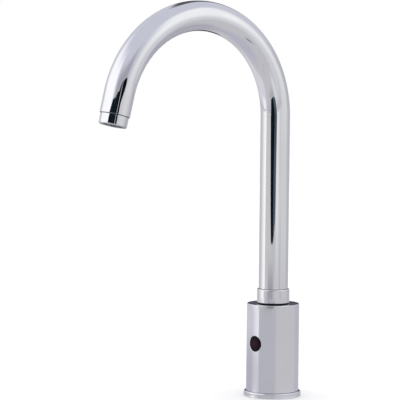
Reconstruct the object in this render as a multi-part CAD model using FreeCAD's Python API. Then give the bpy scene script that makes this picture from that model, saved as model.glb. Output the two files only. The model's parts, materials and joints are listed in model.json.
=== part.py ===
import FreeCAD, Part
import math
import os

# Deck-mounted sensor tap.  Millimetres.  The deck is the plane z = 0, +Z is up, the Z axis is the
# body's axis and the sensor looks towards -Y.  The spout leans over -Y and stands slightly swivelled.

# ---- clearances ----------------------------------------------------------------------------------
SLIDE_GAP = 0.05        # radial gap between fixed pieces that are pushed together
RUNNING_GAP = 0.1       # radial gap between a piece that moves and its bore
THREAD_GAP = 0.02       # radial gap between a plain-modelled screw thread and its hole
HOLE_GAP = 0.3          # radial gap round a screw or boss that passes through a plate
SEAL_GAP = 0.02         # gap left between a sealing ring and the wall that it seals on

# ---- base plate, the ring seen under the body ----------------------------------------------------
PLATE_RIM = 2.25        # how far the plate stands out round the body
PLATE_OPENING_DIAMETER = 33.0  # for the hose, stud and cable, within a 35 mm deck hole
PLATE_HEIGHT = 5.0
PLATE_TOP_ROUND = 1.2
PLATE_FOOT_ROUND = 0.5
LIP_HEIGHT = 2.0        # upright rim that centres the body on the plate
LIP_WALL = 2.9
GASKET_WIDTH = 4.0
GASKET_HEIGHT = 1.5
GASKET_EDGE = 4.0       # plate rim left outside the gasket

# ---- body casting --------------------------------------------------------------------------------
BODY_DIAMETER = 50.0
BODY_HEIGHT = 83.8
BODY_WALL = 3.0
BODY_CAP = 4.8          # thickness of the top
BODY_TOP_ROUND = 0.7
CAVITY_ROUND = 1.5
JOINT_LINE_HEIGHT = 0.6  # shadow groove between the body and the plate
JOINT_LINE_DEPTH = 0.5
SOCKET_DIAMETER = 21.0  # bore that the spout's foot turns in
SOCKET_WALL = 4.5
SOCKET_DEPTH = 26.8

# ---- foot of the body: plug with the ports -------------------------------------------------------
PLUG_HEIGHT = 10.0
PLUG_SEAL_SECTION = 1.7
INLET_OFFSET = 8.0      # inlet axis behind the body's axis
INLET_THREAD_DIAMETER = 9.0   # bore of an M10 x 1 thread
INLET_BOSS_WALL = 2.0
INLET_BOSS_DROP = 6.0   # how far the inlet boss reaches down into the plate
INLET_THREAD_LENGTH = 10.0
CHIMNEY_WALL = 2.8
CHIMNEY_ROOF = 2.0
CHAMBER_HEIGHT = 3.8
CHAMBER_DIAMETER = 7.2
PASSAGE_DIAMETER = 3.2
WELL_DEPTH = 0.5        # how far the riser's well goes below the passage
STUD_OFFSET = 9.0       # fixing stud's axis in front of the body's axis
STUD_HOLE_DIAMETER = 6.8      # tapping size of an M8 thread
STUD_HOLE_DEPTH = 8.5
CABLE_INSET = 10.5      # cable grommet's axis inside the body's wall, beside the body's axis
GROMMET_DIAMETER = 7.0
GROMMET_BORE = 3.6
GROMMET_FLANGE_WIDTH = 0.7
GROMMET_FLANGE_HEIGHT = 0.8
PLUG_SCREW_DIAMETER = 3.0
PLUG_SCREW_HEAD_DIAMETER = 5.2
PLUG_SCREW_HEAD_HEIGHT = 2.4
PLUG_SCREW_RECESS = 3.0
PLUG_SCREW_REACH = 5.0  # length in the body's lug
PLUG_SCREW_ANGLES = (30.0, 150.0, 270.0)
LUG_DIAMETER = 8.4
LUG_HEIGHT = 8.0
LUG_SINK = 0.4          # how far a lug reaches into the body's wall

# ---- inlet strainer and check valve --------------------------------------------------------------
STRAINER_HEIGHT = 1.4
STRAINER_PLATE = 0.4
STRAINER_WALL = 0.6
STRAINER_HOLE_DIAMETER = 1.1
STRAINER_PITCH = 1.9
CARTRIDGE_DIAMETER = 8.0
CARTRIDGE_LENGTH = 7.4
CARTRIDGE_WALL = 0.8
CARTRIDGE_SEAT_HEIGHT = 1.2
CARTRIDGE_SEAT_DIAMETER = 4.0
CARTRIDGE_BRIDGE = 1.2
CARTRIDGE_SEAL_SECTION = 0.6
CARTRIDGE_WINDOW_DIAMETER = 1.5
CARTRIDGE_WINDOWS = 4
POPPET_HEAD_DIAMETER = 5.4
POPPET_HEAD_HEIGHT = 1.0
POPPET_STEM_DIAMETER = 1.5
CHECK_SPRING_DIAMETER = 3.2   # to the middle of the wire
CHECK_SPRING_WIRE = 0.36
CHECK_SPRING_TURNS = 4

# ---- riser from the plug to the valve ------------------------------------------------------------
RISER_GAP = 0.9         # metal between the diaphragm's bead and the riser
RISER_DIAMETER = 6.0
RISER_WALL = 1.0
RISER_ENTRY = 4.8       # length of riser inside the plug's boss
RISER_HEAD_ENTRY = 2.8  # length of riser inside the valve head
RISER_BOSS_WALL = 2.0
RISER_BOSS_HEIGHT = 13.0
RISER_SEAL_SECTION = 1.0

# ---- solenoid valve, on the body's axis under the socket -----------------------------------------
HEAD_DIAMETER = 30.0
HEAD_HEIGHT = 11.5
HEAD_LOBE_TOP = 2.5     # how far the lobe over the riser stays below the head's top
SPIGOT_HEIGHT = 3.6
SPIGOT_SEAL_SECTION = 1.5
SPIGOT_CLEARANCE = 0.4  # between the spigot and the spout's foot
SEAT_BORE = 10.0
SEAT_WALL = 1.6
SEAT_RISE = 1.7         # height of the seat above the head's lower face
RING_CHAMBER_TOP = 6.5  # above the head's lower face
VALVE_SCREW_DIAMETER = 2.5
VALVE_SCREW_HEAD_DIAMETER = 4.4
VALVE_SCREW_HEAD_HEIGHT = 1.6
VALVE_SCREW_REACH = 7.0  # length in the body's socket wall
VALVE_SCREW_ANGLES = (45.0, 135.0, 225.0, 315.0)
BONNET_HEIGHT = 4.0
BONNET_FLOOR = 1.2
BEAD_OUTER_DIAMETER = 22.0
BEAD_INNER_DIAMETER = 19.0
BEAD_ABOVE = 0.8        # part of the diaphragm's bead held in the head
BEAD_BELOW = 0.5        # part held in the bonnet
MEMBRANE_THICKNESS = 0.6
MEMBRANE_RUN = 2.2      # width of the sloping part that flexes
MEMBRANE_HOLE_DIAMETER = 5.0
DISC_DIAMETER = 13.2
DISC_HEIGHT = 1.5
HUB_HEIGHT = 2.0
PILOT_BORE = 1.0
NOZZLE_DIAMETER = 2.4
NOZZLE_HEIGHT = 0.8
ARMATURE_TUBE_DIAMETER = 9.2
ARMATURE_TUBE_WALL = 0.65
ARMATURE_FLANGE_DIAMETER = 11.9
ARMATURE_FLANGE_HEIGHT = 0.6
CORE_HEIGHT = 4.5
CORE_STUB_DIAMETER = 5.0
CORE_STUB_LENGTH = 5.5
PLUNGER_STROKE = 2.5
PLUNGER_END_GAP = 0.2   # left under the plunger when it is fully drawn in
PLUNGER_LENGTH = 9.6
PLUNGER_SEAT_DIAMETER = 4.4
PLUNGER_SEAT_HEIGHT = 2.0
PLUNGER_SEAT_PROUD = 1.0
PLUNGER_FLUTE = 0.8
PLUNGER_FLUTE_DEPTH = 0.5
PLUNGER_SPRING_POCKET_DIAMETER = 4.2
PLUNGER_SPRING_DIAMETER = 3.0  # to the middle of the wire
PLUNGER_SPRING_WIRE = 0.4
PLUNGER_SPRING_TURNS = 5
PLUNGER_SPRING_LENGTH = 8.0
YOKE_WIDTH = 24.0
YOKE_DEPTH = 12.0
YOKE_HEIGHT = 16.5
YOKE_THICKNESS = 1.5
YOKE_BEND = 2.2
MAGNET_DIAMETER = 16.0
MAGNET_HEIGHT = 3.0
BOBBIN_WALL = 0.8
BOBBIN_FLANGE = 1.0
BOBBIN_FLANGE_DIAMETER = 20.6
COIL_DIAMETER = 19.8
COIL_NUT_WIDTH = 8.0    # across flats
COIL_NUT_HEIGHT = 3.0

# ---- sensor module in the front of the body ------------------------------------------------------
SENSOR_HEIGHT = 51.65   # lens axis above the deck
SENSOR_WINDOW_DIAMETER = 15.2
SENSOR_WINDOW_CHAMFER = 0.4
SENSOR_RECESS = 0.35    # lens and rim behind the body's outer face
SENSOR_BACK_GAP = 1.0   # between the sensor's housing and the valve
SENSOR_RIM = 0.9        # black rim seen round the lens
SENSOR_LENS_THICKNESS = 2.0
SENSOR_LEDGE = 0.7
SENSOR_BACK_WALL = 1.2
SENSOR_PAD_DIAMETER = 20.2
SENSOR_GASKET_HEIGHT = 1.0
SENSOR_FLANGE_DIAMETER = 19.0
SENSOR_FLANGE_HEIGHT = 1.2
SENSOR_EAR_DIAMETER = 6.0
SENSOR_SCREW_OFFSET = 11.0
SENSOR_SCREW_DIAMETER = 2.0
SENSOR_SCREW_HEAD_DIAMETER = 3.8
SENSOR_SCREW_HEAD_HEIGHT = 1.4
SENSOR_SCREW_GAP = 0.9        # between the screws' heads and the valve
SENSOR_SCREW_SKIN = 2.1       # metal left in front of the screws
BOARD_THICKNESS = 1.0
DIODE_DIAMETER = 2.0
DIODE_BODY_LENGTH = 0.5
DIODE_SPACING = 5.6
STATUS_LED_SIZE = 1.6
STATUS_LED_HEIGHT = 0.8
STATUS_LED_DROP = 3.6   # below the lens axis

# ---- spout ---------------------------------------------------------------------------------------
TUBE_DIAMETER = 28.0
TUBE_WALL = 1.0
BEND_START_HEIGHT = 267.4     # above the deck
BEND_RADIUS = 94.4            # to the tube's axis
BEND_ANGLE = 165.7
TAIL_LENGTH = 19.5            # straight tube after the bend
SWIVEL_AT_REST = -5.4         # degrees about +Z from straight over the sensor
GLIDE_RING_HEIGHT = 1.1
GLIDE_RING_DIAMETER = 29.5
GLIDE_RING_GAP = 0.4
COLLAR_DIAMETER = 31.0
COLLAR_HEIGHT = 12.9
COLLAR_CHAMFER = 1.1
FOOT_BORE = 15.0
FOOT_FLANGE_HEIGHT = 1.4
FOOT_ENTRY = 11.5             # length of the foot inside the tube
FOOT_CHAMFER = 0.6
FOOT_SEAL_SECTION = 1.8
FOOT_SEAL_INSET = 3.5         # outer seals' distance from the foot's lower end and flange
RETAINING_GROOVE_DEPTH = 1.6
GRUB_SCREW_DIAMETER = 4.0
GRUB_SCREW_POINT_DIAMETER = 3.0
GRUB_SCREW_POINT_LENGTH = 2.5
GRUB_SCREW_LENGTH = 12.0
GRUB_SCREW_DEPTH = 12.5       # below the body's top
GRUB_POINT_GAP = 0.4
GRUB_BOSS_DIAMETER = 11.0
SOCKET_HEAD_DEPTH = 1.0       # depth of the hexagon sockets in the screws

# ---- outlet and aerator, measured along the flow from the end of the tube ------------------------
BUSH_LENGTH = 10.0
BUSH_WALL = 1.05
BUSH_SHOULDER_HEIGHT = 2.5
BUSH_SHOULDER_WIDTH = 2.4
AERATOR_DIAMETER = 26.0
AERATOR_LENGTH = 9.8          # what shows past the tube, with the groove
AERATOR_GROOVE_WIDTH = 0.5
AERATOR_GROOVE_DEPTH = 0.7
AERATOR_NECK_LENGTH = 6.0
AERATOR_NECK_WALL = 1.3
AERATOR_LIP_WIDTH = 0.8
AERATOR_LIP_HEIGHT = 1.6
AERATOR_CHAMFER = 0.6
WASHER_WIDTH = 1.6
MESH_THICKNESS = 0.8
MESH_CELL = 1.6               # across flats
MESH_WALL = 0.9
MESH_RINGS = 3
INSERT_WALL = 1.1
DIFFUSER_THICKNESS = 1.2
DIFFUSER_HOLE_DIAMETER = 1.4
DIFFUSER_HOLES = 8
HONEYCOMB_HEIGHT = 2.4
HONEYCOMB_CELL = 2.1          # across flats
HONEYCOMB_WALL = 0.5
HONEYCOMB_RINGS = 3

# ---- places that follow from the sizes above -----------------------------------------------------
BODY_RADIUS = BODY_DIAMETER / 2
PLATE_RADIUS = BODY_RADIUS + PLATE_RIM
CAVITY_RADIUS = BODY_RADIUS - BODY_WALL
BODY_TOP = PLATE_HEIGHT + BODY_HEIGHT
SOCKET_RADIUS = SOCKET_DIAMETER / 2
SOCKET_OUTER_RADIUS = SOCKET_RADIUS + SOCKET_WALL
SOCKET_BOTTOM = BODY_TOP - SOCKET_DEPTH

PLUG_BOTTOM = PLATE_HEIGHT + LIP_HEIGHT
PLUG_TOP = PLUG_BOTTOM + PLUG_HEIGHT
PLUG_RADIUS = CAVITY_RADIUS - SLIDE_GAP
CABLE_OFFSET = CAVITY_RADIUS - CABLE_INSET
LUG_CIRCLE = CAVITY_RADIUS + LUG_SINK - LUG_DIAMETER / 2
INLET_BOTTOM = PLUG_BOTTOM - INLET_BOSS_DROP
INLET_BOSS_RADIUS = INLET_THREAD_DIAMETER / 2 + INLET_BOSS_WALL
STRAINER_BOTTOM = INLET_BOTTOM + INLET_THREAD_LENGTH
CARTRIDGE_BOTTOM = STRAINER_BOTTOM + STRAINER_HEIGHT
CARTRIDGE_TOP = CARTRIDGE_BOTTOM + CARTRIDGE_LENGTH
CARTRIDGE_SEAT_TOP = CARTRIDGE_BOTTOM + CARTRIDGE_SEAT_HEIGHT
CARTRIDGE_RADIUS = CARTRIDGE_DIAMETER / 2
CARTRIDGE_BORE_RADIUS = CARTRIDGE_RADIUS + SLIDE_GAP
CHAMBER_TOP = CARTRIDGE_TOP + CHAMBER_HEIGHT
CHIMNEY_TOP = CHAMBER_TOP + CHIMNEY_ROOF
CHIMNEY_RADIUS = CARTRIDGE_BORE_RADIUS + CHIMNEY_WALL
PASSAGE_HEIGHT = CARTRIDGE_TOP + CHAMBER_HEIGHT / 2
RISER_RADIUS = RISER_DIAMETER / 2
RISER_OFFSET = BEAD_OUTER_DIAMETER / 2 + RISER_GAP + RISER_RADIUS
RISER_BORE_RADIUS = RISER_RADIUS - RISER_WALL
RISER_SOCKET_RADIUS = RISER_RADIUS + SLIDE_GAP
RISER_BOSS_RADIUS = RISER_RADIUS + RISER_BOSS_WALL
RISER_BOSS_TOP = PLUG_TOP + RISER_BOSS_HEIGHT
RISER_BOTTOM = RISER_BOSS_TOP - RISER_ENTRY

HEAD_RADIUS = HEAD_DIAMETER / 2
HEAD_BOTTOM = SOCKET_BOTTOM - HEAD_HEIGHT
SPIGOT_TOP = SOCKET_BOTTOM + SPIGOT_HEIGHT
SEAT_HEIGHT = HEAD_BOTTOM + SEAT_RISE
RISER_TOP = HEAD_BOTTOM + RISER_HEAD_ENTRY
VALVE_SCREW_CIRCLE = SOCKET_RADIUS + SOCKET_WALL / 2
BONNET_BOTTOM = HEAD_BOTTOM - BONNET_HEIGHT
BEAD_BOTTOM = HEAD_BOTTOM - BEAD_BELOW
BEAD_TOP = HEAD_BOTTOM + BEAD_ABOVE
DISC_TOP = SEAT_HEIGHT - MEMBRANE_THICKNESS
DISC_BOTTOM = DISC_TOP - DISC_HEIGHT
NOZZLE_BOTTOM = DISC_BOTTOM - NOZZLE_HEIGHT
TUBE_TOP_IN_BONNET = BONNET_BOTTOM + BONNET_FLOOR
ARMATURE_TUBE_RADIUS = ARMATURE_TUBE_DIAMETER / 2
ARMATURE_BORE_RADIUS = ARMATURE_TUBE_RADIUS - ARMATURE_TUBE_WALL
PLUNGER_TOP = NOZZLE_BOTTOM - PLUNGER_SEAT_PROUD
PLUNGER_BOTTOM = PLUNGER_TOP - PLUNGER_LENGTH
CORE_TOP = PLUNGER_BOTTOM - PLUNGER_STROKE - PLUNGER_END_GAP
YOKE_BOTTOM = BONNET_BOTTOM - YOKE_HEIGHT
YOKE_FLOOR = YOKE_BOTTOM + YOKE_THICKNESS
MAGNET_TOP = YOKE_FLOOR + MAGNET_HEIGHT
BOBBIN_TOP = BONNET_BOTTOM - YOKE_THICKNESS

SENSOR_SCREW_BACK = -HEAD_RADIUS - SENSOR_SCREW_GAP
SENSOR_FLANGE_BACK = SENSOR_SCREW_BACK - SENSOR_SCREW_HEAD_HEIGHT
SENSOR_FLANGE_FRONT = SENSOR_FLANGE_BACK - SENSOR_FLANGE_HEIGHT
SENSOR_SEAT = SENSOR_FLANGE_FRONT - SENSOR_GASKET_HEIGHT
SENSOR_SCREW_TIP = SENSOR_SCREW_SKIN - BODY_RADIUS
SENSOR_FACE = SENSOR_RECESS - BODY_RADIUS
SENSOR_HOUSING_BACK = -HEAD_RADIUS - SENSOR_BACK_GAP
SENSOR_HOUSING_RADIUS = SENSOR_WINDOW_DIAMETER / 2 - RUNNING_GAP
SENSOR_LENS_RADIUS = SENSOR_HOUSING_RADIUS - SENSOR_RIM
SENSOR_LENS_BACK = SENSOR_FACE + SENSOR_LENS_THICKNESS
SENSOR_INNER_RADIUS = SENSOR_LENS_RADIUS - SENSOR_LEDGE
BOARD_BACK = SENSOR_HOUSING_BACK - SENSOR_BACK_WALL
BOARD_FRONT = BOARD_BACK - BOARD_THICKNESS

TUBE_RADIUS = TUBE_DIAMETER / 2
TUBE_BORE_RADIUS = TUBE_RADIUS - TUBE_WALL
FOOT_BOTTOM = SPIGOT_TOP + SPIGOT_CLEARANCE
FOOT_FLANGE_BOTTOM = BODY_TOP + GLIDE_RING_HEIGHT
TUBE_BOTTOM = FOOT_FLANGE_BOTTOM + FOOT_FLANGE_HEIGHT
FOOT_RADIUS = SOCKET_RADIUS - RUNNING_GAP
FOOT_SEAL_BORE_RADIUS = SOCKET_RADIUS - SLIDE_GAP
GRUB_SCREW_HEIGHT = BODY_TOP - GRUB_SCREW_DEPTH
GROOVE_BOTTOM_RADIUS = FOOT_RADIUS - RETAINING_GROOVE_DEPTH
GRUB_POINT_TIP = GROOVE_BOTTOM_RADIUS + GRUB_POINT_GAP

BUSH_RADIUS = TUBE_BORE_RADIUS - THREAD_GAP
BUSH_THREAD_RADIUS = BUSH_RADIUS - BUSH_WALL
BUSH_SHOULDER_BOTTOM = BUSH_SHOULDER_HEIGHT - BUSH_LENGTH
NECK_RADIUS = BUSH_THREAD_RADIUS - THREAD_GAP
AERATOR_BORE_RADIUS = NECK_RADIUS - AERATOR_NECK_WALL
AERATOR_LIP_TOP = AERATOR_LENGTH - AERATOR_LIP_HEIGHT
HONEYCOMB_TOP = AERATOR_LIP_TOP - HONEYCOMB_HEIGHT
MESH_BOTTOM = MESH_THICKNESS - AERATOR_NECK_LENGTH
INSERT_RADIUS = AERATOR_BORE_RADIUS - SLIDE_GAP

# ---- shapes used more than once ------------------------------------------------------------------
ORIGIN = FreeCAD.Vector(0, 0, 0)
UP = FreeCAD.Vector(0, 0, 1)
BACK = FreeCAD.Vector(0, 1, 0)
RIGHT = FreeCAD.Vector(1, 0, 0)
OVERSHOOT = 1.0         # how far a cutting tool runs past the face that it opens
FULL_TURN = 360.0
SEAL_GROOVE_RATIO = 1.3  # width of a seal's groove over the seal's section


def turned(points):
    """Solid of revolution about Z of the closed outline given as (radius, height) points."""
    corners = [FreeCAD.Vector(radius, 0, height) for radius, height in points]
    outline = Part.makePolygon(corners + corners[:1])
    solid = Part.Face(outline).revolve(ORIGIN, UP, FULL_TURN)
    if solid.Volume < 0:
        solid.reverse()
    return solid


def rod(radius, bottom, top, x=0.0, y=0.0):
    """Upright cylinder between two heights."""
    return Part.makeCylinder(radius, top - bottom, FreeCAD.Vector(x, y, bottom), UP)


def pipe(outer, inner, bottom, top, x=0.0, y=0.0):
    """Upright cylinder with a bore right through."""
    bore = rod(inner, bottom - OVERSHOOT, top + OVERSHOOT, x, y)
    return rod(outer, bottom, top, x, y).cut(bore)


def level_rod(radius, front, back, height, x=0.0):
    """Cylinder along Y between two values of y, at one height."""
    return Part.makeCylinder(radius, back - front, FreeCAD.Vector(x, front, height), BACK)


def joined(*solids):
    """One solid out of several that touch or overlap."""
    return solids[0].fuse(list(solids[1:])).removeSplitter()


def carved(solid, *tools):
    """A solid less its tools."""
    return solid.cut(list(tools))


def centred_box(length, depth, bottom, top):
    """Box centred on the Z axis between two heights."""
    corner = FreeCAD.Vector(-length / 2, -depth / 2, bottom)
    return Part.makeBox(length, depth, top - bottom, corner)


def hexagon(across_flats, bottom, top, x=0.0, y=0.0):
    """Upright hexagonal bar between two heights."""
    corner_radius = across_flats / math.sqrt(3)
    corners = []
    for index in range(7):
        angle = math.radians(60 * index)
        across = corner_radius * math.cos(angle)
        along = corner_radius * math.sin(angle)
        corners.append(FreeCAD.Vector(x + across, y + along, bottom))
    outline = Part.makePolygon(corners)
    return Part.Face(outline).extrude(FreeCAD.Vector(0, 0, top - bottom))


def circle_edges(solid, radius, height):
    """Edges of a turned solid that are circles of one radius at one height."""
    found = []
    for edge in solid.Edges:
        if not isinstance(edge.Curve, Part.Circle):
            continue
        same_radius = abs(edge.Curve.Radius - radius) < SEAL_GAP
        same_height = abs(edge.Curve.Center.z - height) < SEAL_GAP
        if same_radius and same_height:
            found.append(edge)
    return found


def on_circle(circle, angles):
    """(x, y) places on a circle about the Z axis, for a list of angles in degrees."""
    return [(circle * math.cos(math.radians(a)), circle * math.sin(math.radians(a))) for a in angles]


def evenly(count):
    """Angles of a number of equal steps round a full turn."""
    return [FULL_TURN * index / count for index in range(count)]


def hexagonal_grid(pitch, rings):
    """(x, y) places of a honeycomb of points: one in the middle and a number of rings round it."""
    places = []
    for row in range(-rings, rings + 1):
        for column in range(-rings, rings + 1):
            if abs(row + column) > rings:
                continue
            places.append((pitch * (column + row / 2), pitch * row * math.sqrt(3) / 2))
    return places


def seal_ring(middle_radius, section, height):
    """Sealing ring about Z, its section an octagon."""
    corner_radius = section / 2 / math.cos(math.pi / 8)
    outline = []
    for index in range(8):
        angle = math.radians(22.5 + 45 * index)
        radius = middle_radius + corner_radius * math.cos(angle)
        outline.append((radius, height + corner_radius * math.sin(angle)))
    return turned(outline)


def outer_seal(bore_radius, section, height):
    """Sealing ring that closes the gap to a bore round it."""
    return seal_ring(bore_radius - SEAL_GAP - section / 2, section, height)


def outer_seal_groove(bore_radius, section, height):
    """Cutting ring for the groove of such a seal in the piece inside the bore."""
    half_width = section * SEAL_GROOVE_RATIO / 2
    floor = bore_radius - section - 2 * SEAL_GAP
    return pipe(bore_radius + OVERSHOOT, floor, height - half_width, height + half_width)


def inner_seal_groove(rod_radius, section, height, y):
    """Cutting disc for the groove of a seal in the socket round a tube."""
    half_width = section * SEAL_GROOVE_RATIO / 2
    return rod(rod_radius + section + 2 * SEAL_GAP, height - half_width, height + half_width, 0, y)


def cap_screw(diameter, head_diameter, head_height, length):
    """Socket screw with its head below z = 0 and its shank above."""
    head = rod(head_diameter / 2, -head_height, 0)
    shank = rod(diameter / 2, 0, length)
    socket = hexagon(diameter * 0.8, -head_height - OVERSHOOT, SOCKET_HEAD_DEPTH - head_height)
    return carved(joined(head, shank), socket)


def arc_between(start, start_way, end):
    """Circular arc that leaves the start along a direction and meets the end."""
    chord = end - start
    half = chord.Length / 2
    along = chord.normalize()
    turn = start_way.getAngle(along)
    sideways = (start_way - along * start_way.dot(along)).normalize()
    middle = start + along * half + sideways * half * math.tan(turn / 2)
    return Part.Arc(start, middle, end).toShape()


def arc_pair(start, start_way, end, end_way):
    """Two arcs that meet smoothly, from one point and direction to another."""
    chord = end - start
    ways = start_way + end_way
    bend = 2 * (1 - start_way.dot(end_way))
    root = math.sqrt(chord.dot(ways) ** 2 + bend * chord.dot(chord))
    reach = (root - chord.dot(ways)) / bend
    middle = (start + start_way * reach + end - end_way * reach) * 0.5
    middle_way = (end - end_way * reach - start - start_way * reach).normalize()
    return [arc_between(start, start_way, middle), arc_between(middle, middle_way, end)]


def coil_spring(coil_radius, wire, turns, bottom, top):
    """Compression spring of six-sided wire between two heights, its turns about the Z axis."""
    steps_per_turn = 2
    climb = top - bottom - wire
    steps = steps_per_turn * turns
    slope = climb / (2 * math.pi * turns * coil_radius)

    def place(step):
        angle = 2 * math.pi * step / steps_per_turn
        height = bottom + wire / 2 + climb * step / steps
        return FreeCAD.Vector(coil_radius * math.cos(angle), coil_radius * math.sin(angle), height)

    def way(step):
        angle = 2 * math.pi * step / steps_per_turn
        return FreeCAD.Vector(-math.sin(angle), math.cos(angle), slope).normalize()

    arcs = []
    for step in range(steps):
        arcs.extend(arc_pair(place(step), way(step), place(step + 1), way(step + 1)))
    upwards = way(0).cross(RIGHT)
    section = []
    for index in range(6):
        angle = math.radians(60 * index)
        section.append(place(0) + (RIGHT * math.cos(angle) + upwards * math.sin(angle)) * (wire / 2))
    sweep = Part.BRepOffsetAPI.MakePipeShell(Part.Wire(arcs))
    sweep.add(Part.makePolygon(section + section[:1]))
    sweep.build()
    sweep.makeSolid()
    return sweep.shape()


def inside_cavity(solid):
    """Trims a boss so that it clears the body's wall."""
    return solid.common(rod(CAVITY_RADIUS - HOLE_GAP, PLATE_HEIGHT, BODY_TOP))


# ---- base plate, gasket and plug -----------------------------------------------------------------
def base_plate():
    """Ring under the body, with a lip that centres the body and a groove for the gasket."""
    disc = rod(PLATE_RADIUS, 0, PLATE_HEIGHT)
    disc = disc.makeFillet(PLATE_TOP_ROUND, circle_edges(disc, PLATE_RADIUS, PLATE_HEIGHT))
    disc = disc.makeFillet(PLATE_FOOT_ROUND, circle_edges(disc, PLATE_RADIUS, 0))
    lip_outer = CAVITY_RADIUS - SLIDE_GAP
    lip = pipe(lip_outer, lip_outer - LIP_WALL, PLATE_HEIGHT, PLUG_BOTTOM)
    groove_outer = PLATE_RADIUS - GASKET_EDGE
    groove = pipe(groove_outer, groove_outer - GASKET_WIDTH, -OVERSHOOT, GASKET_HEIGHT)
    opening = rod(PLATE_OPENING_DIAMETER / 2, -OVERSHOOT, PLATE_HEIGHT + OVERSHOOT)
    return carved(joined(disc, lip), groove, opening)


def base_gasket():
    """Flat rubber ring in the plate's underside, level with the deck."""
    outer = PLATE_RADIUS - GASKET_EDGE - SLIDE_GAP
    inner = outer - GASKET_WIDTH + 2 * SLIDE_GAP
    return pipe(outer, inner, 0, GASKET_HEIGHT)


def base_plug():
    """Brass plug in the body's foot: inlet thread, stud hole, cable hole and the riser's socket."""
    disc = rod(PLUG_RADIUS, PLUG_BOTTOM, PLUG_TOP)
    inlet_boss = rod(INLET_BOSS_RADIUS, INLET_BOTTOM, PLUG_BOTTOM, 0, INLET_OFFSET)
    chimney = rod(CHIMNEY_RADIUS, PLUG_TOP, CHIMNEY_TOP, 0, INLET_OFFSET)
    riser_boss = rod(RISER_BOSS_RADIUS, PLUG_TOP, RISER_BOSS_TOP, 0, RISER_OFFSET)
    riser_boss = inside_cavity(riser_boss)
    blank = joined(disc, inlet_boss, chimney, riser_boss)

    thread = rod(INLET_THREAD_DIAMETER / 2, INLET_BOTTOM - OVERSHOOT, STRAINER_BOTTOM, 0, INLET_OFFSET)
    cartridge = rod(CARTRIDGE_BORE_RADIUS, STRAINER_BOTTOM, CARTRIDGE_TOP, 0, INLET_OFFSET)
    chamber = rod(CHAMBER_DIAMETER / 2, CARTRIDGE_TOP, CHAMBER_TOP, 0, INLET_OFFSET)
    passage = level_rod(PASSAGE_DIAMETER / 2, INLET_OFFSET, RISER_OFFSET, PASSAGE_HEIGHT)
    well_bottom = PASSAGE_HEIGHT - PASSAGE_DIAMETER / 2 - WELL_DEPTH
    well = rod(RISER_BORE_RADIUS, well_bottom, RISER_BOTTOM, 0, RISER_OFFSET)
    socket = rod(RISER_SOCKET_RADIUS, RISER_BOTTOM, RISER_BOSS_TOP + OVERSHOOT, 0, RISER_OFFSET)
    lower_seal = riser_seal_heights()[0]
    groove = inner_seal_groove(RISER_RADIUS, RISER_SEAL_SECTION, lower_seal, RISER_OFFSET)
    stud_top = PLUG_BOTTOM + STUD_HOLE_DEPTH
    stud = rod(STUD_HOLE_DIAMETER / 2, PLUG_BOTTOM - OVERSHOOT, stud_top, 0, -STUD_OFFSET)
    cable = rod(GROMMET_DIAMETER / 2, PLUG_BOTTOM - OVERSHOOT, PLUG_TOP + OVERSHOOT, CABLE_OFFSET, 0)
    seal = outer_seal_groove(CAVITY_RADIUS, PLUG_SEAL_SECTION, plug_seal_height())
    tools = [thread, cartridge, chamber, passage, well, socket, groove, stud, cable, seal]
    for x, y in on_circle(LUG_CIRCLE, PLUG_SCREW_ANGLES):
        shank_radius = PLUG_SCREW_DIAMETER / 2 + SLIDE_GAP
        head_radius = PLUG_SCREW_HEAD_DIAMETER / 2 + HOLE_GAP
        tools.append(rod(shank_radius, PLUG_BOTTOM, PLUG_TOP + OVERSHOOT, x, y))
        tools.append(rod(head_radius, PLUG_BOTTOM - OVERSHOOT, PLUG_BOTTOM + PLUG_SCREW_RECESS, x, y))
    return carved(blank, *tools)


def plug_seal_height():
    """Height of the plug's sealing ring, between the screw heads and the plug's top."""
    return PLUG_BOTTOM + (PLUG_SCREW_RECESS + PLUG_HEIGHT) / 2


def base_plug_seal():
    """Sealing ring between the plug and the body."""
    return outer_seal(CAVITY_RADIUS, PLUG_SEAL_SECTION, plug_seal_height())


def base_plug_screws():
    """Three screws that hold the plug to the body's lugs."""
    seat = PLUG_BOTTOM + PLUG_SCREW_RECESS
    length = PLUG_TOP - seat + PLUG_SCREW_REACH
    screws = []
    for x, y in on_circle(LUG_CIRCLE, PLUG_SCREW_ANGLES):
        screw = cap_screw(PLUG_SCREW_DIAMETER, PLUG_SCREW_HEAD_DIAMETER, PLUG_SCREW_HEAD_HEIGHT, length)
        screws.append(screw.translate(FreeCAD.Vector(x, y, seat)))
    return Part.makeCompound(screws)


def cable_grommet():
    """Rubber grommet that the sensor's lead passes through, with a flange each side of the plug."""
    body_radius = GROMMET_DIAMETER / 2 - SLIDE_GAP
    flange_radius = GROMMET_DIAMETER / 2 + GROMMET_FLANGE_WIDTH
    bore_radius = GROMMET_BORE / 2
    bottom = PLUG_BOTTOM - GROMMET_FLANGE_HEIGHT
    top = PLUG_TOP + GROMMET_FLANGE_HEIGHT
    outline = [
        (bore_radius, bottom), (flange_radius, bottom), (flange_radius, PLUG_BOTTOM),
        (body_radius, PLUG_BOTTOM), (body_radius, PLUG_TOP), (flange_radius, PLUG_TOP),
        (flange_radius, top), (bore_radius, top),
    ]
    return turned(outline).translate(FreeCAD.Vector(CABLE_OFFSET, 0, 0))


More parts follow.
